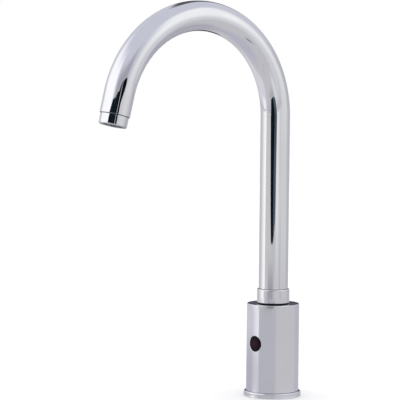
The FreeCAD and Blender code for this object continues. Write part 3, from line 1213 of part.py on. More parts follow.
def aerator_insert():
    """Plastic insert with a diffuser floor that splits the water into jets."""
    wall = pipe(INSERT_RADIUS, INSERT_RADIUS - INSERT_WALL, MESH_BOTTOM, HONEYCOMB_TOP)
    floor_bottom = (MESH_BOTTOM + HONEYCOMB_TOP - DIFFUSER_THICKNESS) / 2
    floor_top = floor_bottom + DIFFUSER_THICKNESS
    floor = rod(INSERT_RADIUS - INSERT_WALL / 2, floor_bottom, floor_top)
    tools = []
    jet_circle = (INSERT_RADIUS - INSERT_WALL) * 0.7
    for x, y in on_circle(jet_circle, evenly(DIFFUSER_HOLES)):
        tools.append(rod(DIFFUSER_HOLE_DIAMETER / 2, floor_bottom - OVERSHOOT, floor_top + OVERSHOOT, x, y))
    return carved(joined(wall, floor), *tools)


def aerator_honeycomb():
    """Honeycomb grille seen in the aerator's mouth."""
    return cellular_disc(INSERT_RADIUS, HONEYCOMB_CELL, HONEYCOMB_WALL, HONEYCOMB_RINGS,
                         HONEYCOMB_TOP, AERATOR_LIP_TOP)


def at_outlet(solid):
    """Puts a piece made about the Z axis at the tube's open end."""
    solid.Placement = outlet_place().multiply(solid.Placement)
    return solid


def swivelled(solid):
    """Turns a piece of the spout to its place at rest."""
    solid.rotate(ORIGIN, UP, SWIVEL_AT_REST)
    return solid


FIXED_PARTS = (
    base_plate, base_gasket, base_plug, base_plug_seal, base_plug_screws, cable_grommet,
    inlet_strainer, check_valve_body, check_seal, check_poppet, check_spring,
    riser_tube, riser_seals, valve_head, valve_head_seal, valve_screws,
    diaphragm, diaphragm_disc, valve_bonnet, armature_tube, fixed_core,
    plunger, plunger_seat, plunger_spring, coil_yoke, latch_magnet, coil_bobbin, coil, coil_nut,
    body_casting, sensor_housing, sensor_lens, sensor_gasket, sensor_screws, sensor_board,
    ir_emitter, ir_receiver, status_led, spout_grub_screw, glide_ring,
)
SPOUT_PARTS = (spout_foot, spout_seals, spout_collar, spout_tube)
OUTLET_PARTS = (
    outlet_bush, aerator_washer, aerator_housing, aerator_strainer, aerator_insert, aerator_honeycomb,
)


def model():
    """Every piece of the tap in its place, by name."""
    pieces = {}
    for make in FIXED_PARTS:
        pieces[make.__name__] = make()
    for make in SPOUT_PARTS:
        pieces[make.__name__] = swivelled(make())
    for make in OUTLET_PARTS:
        pieces[make.__name__] = swivelled(at_outlet(make()))
    return pieces


os.makedirs("parts", exist_ok=True)
for name, shape in model().items():
    shape.exportStep("parts/" + name + ".step")
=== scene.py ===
"""Dressed model of the deck-mounted sensor tap: finishes, finely turned outer pieces and the studio."""

import json
import logging
import math
from dataclasses import dataclass, field
from enum import Enum
from typing import Callable, Sequence

import bpy
from mathutils import Matrix, Vector

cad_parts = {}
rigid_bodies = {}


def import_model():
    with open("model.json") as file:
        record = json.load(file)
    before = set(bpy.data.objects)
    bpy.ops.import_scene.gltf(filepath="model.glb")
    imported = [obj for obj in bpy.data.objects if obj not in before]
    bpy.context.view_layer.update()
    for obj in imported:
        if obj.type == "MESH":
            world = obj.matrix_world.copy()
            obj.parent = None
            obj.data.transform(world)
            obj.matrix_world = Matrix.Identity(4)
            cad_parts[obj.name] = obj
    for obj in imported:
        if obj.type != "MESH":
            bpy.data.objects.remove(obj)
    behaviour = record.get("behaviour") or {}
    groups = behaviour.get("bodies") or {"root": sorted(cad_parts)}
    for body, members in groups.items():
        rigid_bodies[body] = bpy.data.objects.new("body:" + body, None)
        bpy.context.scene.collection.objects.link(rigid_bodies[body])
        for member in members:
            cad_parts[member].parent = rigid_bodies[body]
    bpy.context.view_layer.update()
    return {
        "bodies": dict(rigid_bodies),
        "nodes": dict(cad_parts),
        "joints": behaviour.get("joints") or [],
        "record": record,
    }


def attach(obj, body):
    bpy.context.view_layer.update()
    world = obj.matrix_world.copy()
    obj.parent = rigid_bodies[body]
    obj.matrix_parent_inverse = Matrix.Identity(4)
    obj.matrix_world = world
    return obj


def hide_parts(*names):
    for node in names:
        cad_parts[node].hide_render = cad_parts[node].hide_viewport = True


LOG = logging.getLogger("sensor_tap")
MM = 0.001
# Scale of a wave texture whose bands are one unit apart.
BAND_SCALE = 0.314
# Height of the sensor's axis, in millimetres.
SENSOR_HEIGHT = 51.65
Rgb = tuple[float, float, float]
# Corners of an outline: radius and height of each.
Outline = Sequence[tuple[float, float]]
Socket = bpy.types.NodeSocket


# ---- nodes ----------------------------------------------------------------------------------------
class NodeDesk:
    """Adds and links the nodes of one material or world."""

    def __init__(self, owner: bpy.types.ID) -> None:
        """Clears the owner's node tree and keeps it at hand.

        Args:
            owner: material or world.
        """
        owner.use_nodes = True
        self.tree = owner.node_tree
        self.tree.nodes.clear()

    def add(self, kind: str, settings: dict | None = None, inputs: dict | None = None) -> bpy.types.Node:
        """Adds one node.

        Args:
            kind: Blender's name of the node type.
            settings: the node's own options by name.
            inputs: values or output sockets by the name or number of the input.

        Returns:
            The new node.
        """
        node = self.tree.nodes.new(kind)
        for name, value in (settings or {}).items():
            setattr(node, name, value)
        self.feed(node, inputs or {})
        return node

    def feed(self, node: bpy.types.Node, inputs: dict) -> None:
        """Links sockets, or sets plain values, on a node's inputs.

        Args:
            node: the node.
            inputs: values or output sockets by the name or number of the input.
        """
        for name, value in inputs.items():
            if isinstance(value, Socket):
                self.tree.links.new(value, node.inputs[name])
            elif isinstance(value, tuple) and node.inputs[name].type == "RGBA":
                node.inputs[name].default_value = (*value, 1.0)
            else:
                node.inputs[name].default_value = value

    def place(self) -> Socket:
        """Object coordinates, in metres."""
        return self.add("ShaderNodeTexCoord").outputs["Object"]

    def maths(self, operation: str, first: Socket | float, second: Socket | float = 0.0) -> Socket:
        """One step of arithmetic.

        Args:
            operation: Blender's name of the operation.
            first: first value or socket.
            second: second value or socket.

        Returns:
            The socket with the result.
        """
        return self.add("ShaderNodeMath", {"operation": operation}, {0: first, 1: second}).outputs[0]

    def noise(self, place: Socket, scale: float, detail: float = 3.0,
              stretch: Vector | None = None) -> Socket:
        """Cloudy value between 0 and 1.

        Args:
            place: coordinates.
            scale: clouds in one metre.
            detail: finer layers.
            stretch: scale of the coordinates along each axis.

        Returns:
            The noise's value.
        """
        if stretch is not None:
            place = self.add("ShaderNodeMapping", None, {"Vector": place, "Scale": stretch}).outputs[0]
        inputs = {"Vector": place, "Scale": scale, "Detail": detail}
        return self.add("ShaderNodeTexNoise", None, inputs).outputs["Fac"]

    def ranged(self, value: Socket, low: float, high: float, start: float = 0.3, end: float = 0.7) -> Socket:
        """Maps a value smoothly from start..end to low..high.

        Args:
            value: socket that is mapped.
            low: result at the start.
            high: result at the end.
            start: value where the change begins.
            end: value where it ends.

        Returns:
            The mapped value.
        """
        settings = {"interpolation_type": "SMOOTHSTEP"}
        inputs = {"Value": value, "From Min": start, "From Max": end, "To Min": low, "To Max": high}
        return self.add("ShaderNodeMapRange", settings, inputs).outputs[0]

    def within(self, value: Socket, starts: tuple[float, float], ends: tuple[float, float]) -> Socket:
        """Share that rises smoothly from 0 to 1 and falls back to 0.

        Args:
            value: socket that decides the share.
            starts: values between which it rises.
            ends: values between which it falls back.

        Returns:
            The share.
        """
        risen = self.ranged(value, 0.0, 1.0, *starts)
        return self.maths("MULTIPLY", risen, self.ranged(value, 1.0, 0.0, *ends))

    def blend(self, share: Socket, first: Rgb | Socket, second: Rgb | Socket) -> Socket:
        """Mixes two colours by a share between 0 and 1."""
        inputs = {0: share, 6: first, 7: second}
        return self.add("ShaderNodeMix", {"data_type": "RGBA"}, inputs).outputs[2]

    def bump(self, height: Socket, distance: float, strength: float = 1.0) -> Socket:
        """Normal that is tilted by a height.

        Args:
            height: height between 0 and 1.
            distance: metres that a height of 1 stands up.
            strength: share of the effect.

        Returns:
            The tilted normal.
        """
        inputs = {"Height": height, "Distance": distance, "Strength": strength}
        return self.add("ShaderNodeBump", None, inputs).outputs[0]

    def show(self, result: Socket, kind: str = "ShaderNodeOutputMaterial") -> None:
        """Links the result to a new output node."""
        self.tree.links.new(result, self.add(kind).inputs[0])


# ---- finishes -------------------------------------------------------------------------------------
@dataclass(frozen=True)
class Finish:
    """A surface finish made of procedural nodes; each kind of finish adds its own pattern.

    Attributes:
        name: name of the material.
        colour: main colour.
        shade: second colour, of wear, clouds or grain; on the lens, the black at its rim round its painted
            glow.
        roughness: lowest roughness.
        spread: how much rougher the roughest places are.
    """

    name: str
    colour: Rgb
    shade: Rgb
    roughness: float
    spread: float = 0.1

    def build(self) -> bpy.types.Material:
        """Makes the material.

        Returns:
            The material.
        """
        material = bpy.data.materials.new(self.name)
        material.diffuse_color = (*self.colour, 1.0)
        desk = NodeDesk(material)
        shader = desk.add("ShaderNodeBsdfPrincipled")
        desk.show(shader.outputs[0])
        self.dress(desk, shader)
        return material

    def dress(self, desk: NodeDesk, shader: bpy.types.Node) -> None:
        """Adds the finish's own nodes.

        Args:
            desk: where nodes are added.
            shader: the surface shader whose sockets they feed.
        """
        raise NotImplementedError

    def roughened(self, desk: NodeDesk, value: Socket, start: float = 0.3, end: float = 0.7) -> Socket:
        """Roughness that grows by the spread as a value goes from start to end."""
        return desk.ranged(value, self.roughness, self.roughness + self.spread, start, end)

    def toned(self, desk: NodeDesk, value: Socket, start: float = 0.3, end: float = 0.7) -> Socket:
        """Main colour that gives way to the second as a value goes from start to end."""
        return desk.blend(desk.ranged(value, 0.0, 1.0, start, end), self.colour, self.shade)


@dataclass(frozen=True)
class PolishedChrome(Finish):
    """Mirror plating: faint wiping marks in the gloss and a trace of polishing waviness.

    Attributes:
        waviness: height of the polisher's waves, in metres.
        metal: how metallic it is; the rest scatters as a satin finish does, and on the window's edge this
            pale matt share is partly a painted highlight.
        patches: dull patches in one metre.
        wipes: wiping marks in one metre.
        wipe_stretch: their scale along the upright axis, which draws them out.
        waves: polisher's waves in one metre.
    """

    waviness: float = 1.5e-6
    metal: float = 1.0
    patches: float = 38.0
    wipes: float = 900.0
    wipe_stretch: float = 0.12
    waves: float = 120.0

    def dress(self, desk: NodeDesk, shader: bpy.types.Node) -> None:
        """Adds wiping marks, dull clouds and the polisher's waviness.

        Args:
            desk: where nodes are added.
            shader: the surface shader whose sockets they feed.
        """
        place = desk.place()
        clouds = desk.noise(place, self.patches, detail=4.0)
        wiped = desk.noise(place, self.wipes, detail=2.0, stretch=Vector((1.0, 1.0, self.wipe_stretch)))
        haze = desk.maths("MULTIPLY", desk.ranged(clouds, 0.0, 1.0, start=0.45, end=0.75), wiped)
        roughness = self.roughened(desk, haze, start=0.0, end=0.8)
        colour = self.toned(desk, clouds)
        waves = desk.noise(place, self.waves, detail=1.0)
        desk.feed(shader, {
            "Base Color": colour, "Metallic": self.metal, "Roughness": roughness,
            "Normal": desk.bump(waves, self.waviness),
        })


@dataclass(frozen=True)
class TurnedMetal(Finish):
    """Machined metal: fine tool lines round the upright axis, with tarnish in clouds.

    Attributes:
        line: from one tool line to the next, in metres.
        depth: their depth, in metres.
        tarnish: clouds of tarnish in one metre.
    """

    line: float = 0.35 * MM
    depth: float = 4e-6
    tarnish: float = 160.0

    def dress(self, desk: NodeDesk, shader: bpy.types.Node) -> None:
        """Adds tool lines and tarnish.

        Args:
            desk: where nodes are added.
            shader: the surface shader whose sockets they feed.
        """
        place = desk.place()
        clouds = desk.noise(place, self.tarnish, detail=4.0)
        settings = {"wave_type": "BANDS", "bands_direction": "Z", "wave_profile": "SAW"}
        inputs = {"Vector": place, "Scale": BAND_SCALE / self.line, "Distortion": 0.4, "Detail": 2.0}
        lines = desk.add("ShaderNodeTexWave", settings, inputs).outputs["Fac"]
        roughness = self.roughened(desk, clouds)
        colour = self.toned(desk, clouds, start=0.35, end=0.7)
        desk.feed(shader, {
            "Base Color": colour, "Metallic": 1.0, "Roughness": roughness,
            "Normal": desk.bump(lines, self.depth, strength=0.6),
        })


@dataclass(frozen=True)
class MouldedPlastic(Finish):
    """Injection-moulded plastic: fine grain, slight flow marks and a soft gloss.

    Attributes:
        grain: grains in one metre.
        depth: their depth, in metres.
        flow: flow marks in one metre.
        gloss: strength of the reflection.
    """

    grain: float = 2600.0
    depth: float = 8e-6
    flow: float = 90.0
    gloss: float = 0.45

    def dress(self, desk: NodeDesk, shader: bpy.types.Node) -> None:
        """Adds moulded grain and flow marks.

        Args:
            desk: where nodes are added.
            shader: the surface shader whose sockets they feed.
        """
        place = desk.place()
        flow = desk.noise(place, self.flow, detail=3.0)
        grain = desk.noise(place, self.grain, detail=2.0)
        colour = self.toned(desk, flow)
        roughness = self.roughened(desk, flow)
        desk.feed(shader, {
            "Base Color": colour, "Roughness": roughness, "Specular IOR Level": self.gloss,
            "Normal": desk.bump(grain, self.depth, strength=0.5),
        })


@dataclass(frozen=True)
class SealRubber(Finish):
    """Matt rubber with a bloom of paler dust.

    Attributes:
        bloom: clouds of dust in one metre.
        grain: grains in one metre.
        depth: their depth, in metres.
        gloss: strength of the reflection.
    """

    bloom: float = 240.0
    grain: float = 4200.0
    depth: float = 12e-6
    gloss: float = 0.25

    def dress(self, desk: NodeDesk, shader: bpy.types.Node) -> None:
        """Adds bloom and a dull grain.

        Args:
            desk: where nodes are added.
            shader: the surface shader whose sockets they feed.
        """
        place = desk.place()
        bloom = desk.noise(place, self.bloom, detail=5.0)
        grain = desk.noise(place, self.grain, detail=2.0)
        colour = self.toned(desk, bloom, start=0.4, end=0.8)
        desk.feed(shader, {
            "Base Color": colour, "Specular IOR Level": self.gloss,
            "Roughness": self.roughened(desk, bloom),
            "Normal": desk.bump(grain, self.depth, strength=0.6),
        })


@dataclass(frozen=True)
class SmokedLens(Finish):
    """Infrared window under a clear gloss, with painted light: a deep red-violet glow painted in its middle
    that fades to black towards its rim.

    Attributes:
        height: height of its middle, in metres.
        reach: its radius, in metres.
        glow: where its painted red glow gives way to black, and where that ends, in shares of its radius.
        smears: smears on it in one metre.
        gloss: strength of the reflection.
    """

    height: float = SENSOR_HEIGHT * MM
    reach: float = 6.6 * MM
    glow: tuple[float, float] = (0.15, 0.95)
    smears: float = 500.0
    gloss: float = 0.1

    def dress(self, desk: NodeDesk, shader: bpy.types.Node) -> None:
        """Paints the glow of the diodes' pocket behind the lens into its colour, fading to black towards the
        rim.

        Args:
            desk: where nodes are added.
            shader: the surface shader whose sockets they feed.
        """
        place = desk.place()
        flat = desk.add("ShaderNodeMapping", None, {
            "Vector": place, "Location": Vector((0.0, 0.0, -self.height)),
            "Scale": Vector((1.0, 0.0, 1.0))}).outputs[0]
        away = desk.add("ShaderNodeVectorMath", {"operation": "LENGTH"}, {0: flat}).outputs["Value"]
        clouds = desk.noise(place, self.smears, detail=3.0)
        start, end = self.glow
        # Painted light: red-violet glow in the middle, fading to black at the rim.
        colour = self.toned(desk, away, start * self.reach, end * self.reach)
        desk.feed(shader, {
            "Base Color": colour, "Specular IOR Level": self.gloss,
            "Roughness": self.roughened(desk, clouds),
        })


@dataclass(frozen=True)
class TapedWinding(Finish):
    """Copper winding under amber tape: the turns show through as fine ribs.

    Attributes:
        wire: from one turn to the next, in metres.
        depth: height of the ribs, in metres.
        laps: scale of the wave that draws the tape's laps.
    """

    wire: float = 0.3 * MM
    depth: float = 30e-6
    laps: float = 70.0

    def dress(self, desk: NodeDesk, shader: bpy.types.Node) -> None:
        """Adds the ribs of the turns and the tape's laps.

        Args:
            desk: where nodes are added.
            shader: the surface shader whose sockets they feed.
        """
        place = desk.place()
        settings = {"wave_type": "BANDS", "bands_direction": "Z"}
        ribs = desk.add("ShaderNodeTexWave", settings, {"Vector": place, "Scale": BAND_SCALE / self.wire})
        laps = desk.add("ShaderNodeTexWave", {**settings, "wave_profile": "SAW"},
                        {"Vector": place, "Scale": self.laps, "Distortion": 1.2, "Detail": 1.0})
        colour = desk.blend(laps.outputs["Fac"], self.colour, self.shade)
        desk.feed(shader, {
            "Base Color": colour, "Roughness": self.roughness, "Coat Weight": 0.6, "Coat Roughness": 0.15,
            "Normal": desk.bump(ribs.outputs["Fac"], self.depth, strength=0.7),
        })


@dataclass(frozen=True)
class BoardLaminate(Finish):
    """Green circuit board with a net of tinned tracks.

    Attributes:
        pitch: from one track to the next, in metres.
        depth: depth of the weave, in metres.
        weave: its threads in one metre.
    """

    pitch: float = 1.2 * MM
    depth: float = 6e-6
    weave: float = 1800.0

    def dress(self, desk: NodeDesk, shader: bpy.types.Node) -> None:
        """Adds the tracks, and the weave under the lacquer.

        Args:
            desk: where nodes are added.
            shader: the surface shader whose sockets they feed.
        """
        place = desk.place()
        turned = desk.add("ShaderNodeMapping", None, {
            "Vector": place, "Rotation": Vector((math.radians(90.0), 0.0, 0.0))}).outputs[0]
        settings = {"offset": 0.37, "squash": 1.6, "squash_frequency": 3}
        tracks = desk.add("ShaderNodeTexBrick", settings, {
            "Vector": turned, "Scale": 1.0, "Row Height": self.pitch,
            "Mortar Size": self.pitch * 0.06, "Brick Width": self.pitch * 2.4})
        weave = desk.noise(place, self.weave, detail=2.0)
        colour = desk.blend(tracks.outputs["Fac"], self.colour, self.shade)
        desk.feed(shader, {
            "Base Color": colour, "Metallic": tracks.outputs["Fac"], "Roughness": self.roughness,
            "Coat Weight": 0.5, "Coat Roughness": 0.1, "Normal": desk.bump(weave, self.depth, strength=0.5),
        })


@dataclass(frozen=True)
class CastResin(Finish):
    """Tinted resin round a diode's chip, with soft clouds.

    Attributes:
        clouds: clouds in one metre.
    """

    clouds: float = 700.0

    def dress(self, desk: NodeDesk, shader: bpy.types.Node) -> None:
        """Adds the clouds of the resin and a clear coat.

        Args:
            desk: where nodes are added.
            shader: the surface shader whose sockets they feed.
        """
        clouds = desk.noise(desk.place(), self.clouds, detail=2.0)
        colour = self.toned(desk, clouds)
        desk.feed(shader, {
            "Base Color": colour, "Coat Weight": 1.0, "Coat Roughness": 0.03,
            "Roughness": self.roughened(desk, clouds),
        })


@dataclass(frozen=True)
class SinteredMagnet(Finish):
    """Dark ferrite with coarse specks and ground faces.

    Attributes:
        specks: specks in one metre.
        depth: their depth, in metres.
        grinding: grinding marks in one metre.
    """

    specks: float = 1500.0
    depth: float = 10e-6
    grinding: float = 1200.0

    def dress(self, desk: NodeDesk, shader: bpy.types.Node) -> None:
        """Adds specks and grinding marks.

        Args:
            desk: where nodes are added.
            shader: the surface shader whose sockets they feed.
        """
        place = desk.place()
        inputs = {"Vector": place, "Scale": self.specks}
        specks = desk.add("ShaderNodeTexVoronoi", None, inputs).outputs["Distance"]
        ground = desk.noise(place, self.grinding, detail=2.0, stretch=Vector((0.1, 1.0, 1.0)))
        colour = desk.blend(desk.ranged(specks, 0.0, 1.0, start=0.1, end=0.6), self.shade, self.colour)
        desk.feed(shader, {
            "Base Color": colour, "Metallic": 0.35,
            "Roughness": self.roughened(desk, ground),
            "Normal": desk.bump(specks, self.depth, strength=0.5),
        })


class Finishes(Enum):
    """The tap's finishes, named as the record's material slots, with a paler, partly matt copy of the chrome
    for the window's edge, a satin finish that is partly a painted highlight.
    """

    chrome = PolishedChrome("chrome", (0.86, 0.865, 0.885), (0.84, 0.845, 0.87), 0.035, 0.06)
    # Satin chrome of the window's edge: paler and partly matt, so that it is partly a painted highlight.
    satin_highlight_chrome = PolishedChrome("satin_highlight_chrome", (0.93, 0.93, 0.935), (0.89, 0.89, 0.90), 0.28, 0.08,
                                  metal=0.65)
    brass = TurnedMetal("brass", (0.83, 0.62, 0.30), (0.60, 0.40, 0.17), 0.22, 0.16)
    steel = TurnedMetal("steel", (0.66, 0.66, 0.67), (0.52, 0.52, 0.54), 0.24, 0.14, 0.22 * MM)
    rubber = SealRubber("rubber", (0.012, 0.012, 0.013), (0.035, 0.035, 0.036), 0.62, 0.2)
    black_plastic = MouldedPlastic("black_plastic", (0.006, 0.006, 0.007), (0.010, 0.010, 0.011), 0.34, 0.14,
                                   gloss=0.16)
    white_plastic = MouldedPlastic("white_plastic", (0.78, 0.77, 0.73), (0.70, 0.69, 0.64), 0.36, 0.12)
    grey_plastic = MouldedPlastic("grey_plastic", (0.24, 0.25, 0.26), (0.19, 0.20, 0.21), 0.38, 0.12)
    # The lens's two colours are a painted glow in its middle and the black towards its rim.
    sensor_lens = SmokedLens("sensor_lens", (0.022, 0.0048, 0.011), (0.004, 0.002, 0.004), 0.16, 0.06)
    magnet = SinteredMagnet("magnet", (0.05, 0.05, 0.052), (0.10, 0.10, 0.10), 0.40, 0.2)
    winding = TapedWinding("winding", (0.45, 0.20, 0.05), (0.30, 0.12, 0.03), 0.35)
    circuit_board = BoardLaminate("circuit_board", (0.012, 0.12, 0.045), (0.55, 0.50, 0.36), 0.3)
    diode = CastResin("diode", (0.015, 0.012, 0.03), (0.05, 0.04, 0.09), 0.08, 0.06)
    signal_led = CastResin("signal_led", (0.55, 0.04, 0.035), (0.38, 0.02, 0.02), 0.12, 0.08)

    @property
    def slot(self) -> str:
        """Material slot of the record that the finish belongs to."""
        return "chrome" if self is Finishes.satin_highlight_chrome else self.name


class Wardrobe:
    """Builds each finish once and dresses CAD nodes and new pieces with it."""

    def __init__(self) -> None:
        """Builds every finish's material."""
        self.materials = {finish: finish.value.build() for finish in Finishes}

    def dress(self, piece: bpy.types.Object, finish: Finishes) -> None:
        """Gives a piece one finish all over.

        Args:
            piece: CAD node or new piece.
            finish: its finish.
        """
        if not piece.material_slots:
            piece.data.materials.append(self.materials[finish])
        for slot in piece.material_slots:
            slot.material = self.materials[finish]


# ---- studio ---------------------------------------------------------------------------------------
@dataclass(frozen=True)
class Panel:
    """A soft-edged panel of the studio, placed by angles seen from the tap.

    Attributes:
        colour: its light.
        sides: angles of its left and right edge round the tap from the camera, in degrees to the right.
        rises: heights of its lower and upper edge, in degrees.
        blurs: widths of its soft left, right, lower and upper edge, in degrees.
    """

    colour: Rgb
    sides: tuple[float, float]
    rises: tuple[float, float]
    blurs: tuple[float, float, float, float]

    def mask(self, desk: NodeDesk, side: Socket, rise: Socket) -> Socket:
        """Share of the panel in a direction.

        Args:
            desk: where nodes are added.
            side: angle round the tap.
            rise: angle above the level.

        Returns:
            1 inside the panel and 0 outside.
        """
        spans = [(edge - blur / 2, edge + blur / 2)
                 for edge, blur in zip(self.sides + self.rises, self.blurs)]
        return desk.maths("MULTIPLY", desk.within(side, *spans[:2]), desk.within(rise, *spans[2:]))


@dataclass(frozen=True)
class Screen:
    """A flat upright screen of the studio that faces the tap, solid in its middle and clear at its edges.

    Attributes:
        name: its name.
        side: angle of its middle to the right of the camera, in degrees.
        distance: from the tap's axis, in metres.
        across: its left and right edge from its middle, in metres.
        heights: its lower and upper edge, in metres.
        blurs: widths of its soft upright and level edges, in metres.
        colour: its light.
    """

    name: str
    side: float
    distance: float
    across: tuple[float, float]
    heights: tuple[float, float]
    blurs: tuple[float, float]
    colour: Rgb

    def cover(self, desk: NodeDesk, right: Vector) -> Socket:
        """How solid it is.

        Args:
            desk: where nodes are added.
            right: its level way, seen from the tap.

        Returns:
            1 in its middle and 0 at its edges.
        """
        inputs = {0: desk.place(), 1: right}
        sideways = desk.add("ShaderNodeVectorMath", {"operation": "DOT_PRODUCT"}, inputs).outputs["Value"]
        height = desk.add("ShaderNodeSeparateXYZ", None, {0: desk.place()}).outputs[2]
        spans = zip((sideways, height), (self.across, self.heights), self.blurs)
        shares = [desk.within(value, (low, low + blur), (high - blur, high))
                  for value, (low, high), blur in spans]
        return desk.maths("MULTIPLY", *shares)


# The wall behind the panels: its tones low and high up, and the degrees between which they change.
WALL_TONES = ((0.59, 0.585, 0.61), (0.64, 0.645, 0.735))
WALL_FADE = (-10.0, 40.0)
# Panels in the order in which they cover each other.
PANELS = (
    Panel((1.12, 1.12, 1.14), (-127.0, -37.0), (10.0, 48.0), (40.0, 18.0, 12.0, 28.0)),
    Panel((1.08, 1.07, 1.08), (-106.0, -73.5), (-6.85, 14.0), (50.0, 5.0, 0.06, 10.0)),
    Panel((0.62, 0.62, 0.62), (-73.0, -20.0), (-6.85, 14.0), (4.0, 4.0, 0.06, 8.0)),
    Panel((0.37, 0.36, 0.39), (-47.0, -4.0), (-6.85, -6.1), (24.0, 22.0, 0.06, 0.9)),
    Panel((0.85, 0.85, 0.85), (12.0, 34.0), (-5.6, 9.0), (3.0, 24.0, 2.8, 6.0)),
    Panel((0.68, 0.685, 0.70), (42.0, 112.0), (-6.0, 10.0), (20.0, 20.0, 2.0, 8.0)),
    Panel((0.52, 0.52, 0.565), (112.0, 180.0), (-20.0, 14.0), (26.0, 4.0, 4.0, 10.0)),
    Panel((0.40, 0.40, 0.45), (-24.0, 36.0), (16.0, 34.0), (10.0, 12.0, 8.0, 18.0)),
    Panel((0.66, 0.65, 0.71), (-180.0, -64.5), (-14.0, -6.85), (2.0, 4.0, 8.0, 0.06)),
    Panel((0.50, 0.485, 0.56), (-180.0, -98.0), (-9.3, -7.85), (2.0, 44.0, 0.6, 1.0)),
    Panel((0.51, 0.51, 0.56), (-64.5, 12.0), (-14.0, -6.85), (4.0, 16.0, 12.0, 0.06)),
    Panel((0.93, 0.91, 0.95), (-89.0, -66.0), (-8.0, -6.85), (46.0, 4.0, 1.0, 0.06)),
    Panel((0.75, 0.72, 0.78), (-150.0, -66.0), (-46.0, -12.0), (30.0, 14.0, 12.0, 6.0)),
    Panel((1.00, 0.99, 1.02), (-102.0, -77.0), (-20.0, -9.2), (20.0, 8.0, 6.0, 1.0)),
    Panel((0.46, 0.465, 0.47), (-34.0, 2.0), (-27.0, -11.0), (16.0, 8.0, 10.0, 4.0)),
    Panel((0.70, 0.70, 0.74), (36.0, 118.0), (-20.0, -9.3), (24.0, 30.0, 12.0, 1.2)),
    Panel((0.74, 0.735, 0.76), (8.0, 30.0), (-28.0, -11.0), (8.0, 16.0, 10.0, 4.0)),
    Panel((0.37, 0.36, 0.43), (112.0, 158.0), (-62.0, -15.0), (50.0, 40.0, 30.0, 12.0)),
    Panel((0.53, 0.52, 0.60), (-180.0, 180.0), (-95.0, -62.0), (1.0, 1.0, 1.0, 20.0)),
    Panel((0.28, 0.28, 0.31), (50.0, 56.0), (-48.0, -37.0), (3.0, 3.0, 6.0, 8.0)),
    Panel((0.44, 0.44, 0.48), (46.0, 51.0), (-6.85, -5.0), (3.0, 3.0, 0.06, 1.6)),
    Panel((0.09, 0.09, 0.11), (169.0, 190.0), (-34.0, 58.0), (8.0, 2.0, 10.0, 16.0)),
    Panel((0.09, 0.09, 0.11), (-190.0, -175.0), (-34.0, 58.0), (2.0, 5.0, 10.0, 16.0)),
)
# A lit screen on the right, and a small dark one whose shade lies on the body under the glide ring.
SCREENS = (
    Screen("right_screen", 80.0, 0.6, (-0.64, 0.46), (0.14, 1.30), (0.42, 0.40), (1.00, 1.01, 1.02)),
    Screen("low_shade", -14.0, 0.25, (-0.14, 0.14), (0.0581, 0.0615), (0.10, 0.0015), (0.11, 0.11, 0.12)),
)
# Clouds in one metre of a screen or card, and the share to which they dim a screen's light.
CARD_CLOUDS = 9.0
SCREEN_DIM = 0.96
# Light of the black card, and the share to which the clouds dim it.
BLACK_TONE = (0.006, 0.012, 0.018)
BLACK_DIM = 0.6
# Light of the grey card, which changes from the first tone to the second between two heights, in metres.
GREY_TONES = ((0.075, 0.105, 0.13), (0.004, 0.007, 0.010))
GREY_FADE = (0.20, 0.32)
# Outlines of the two cards: degrees to the right of the camera, and metres above the floor.
BLACK_CARD = ((-25.2, 0.097), (-8.5, 0.097), (-8.2, 0.18), (-4.8, 0.25), (-3.6, 0.46), (-6.1, 0.460),
              (-11.0, 0.436), (-14.2, 0.413), (-26.8, 0.412), (-38.5, 0.417), (-45.0, 0.400), (-36.6, 0.245),
              (-34.1, 0.195), (-31.3, 0.148), (-28.8, 0.124))
GREY_CARD = ((-8.4, 0.098), (-3.0, 0.104), (5.3, 0.124), (7.9, 0.148), (9.0, 0.195), (11.0, 0.219),
             (12.0, 0.300), (9.6, 0.358), (19.5, 0.356), (21.5, 0.378), (21.5, 0.394), (16.5, 0.432),
             (10.8, 0.446), (4.0, 0.455), (-1.2, 0.455), (-2.0, 0.33), (-4.6, 0.25), (-8.1, 0.18))


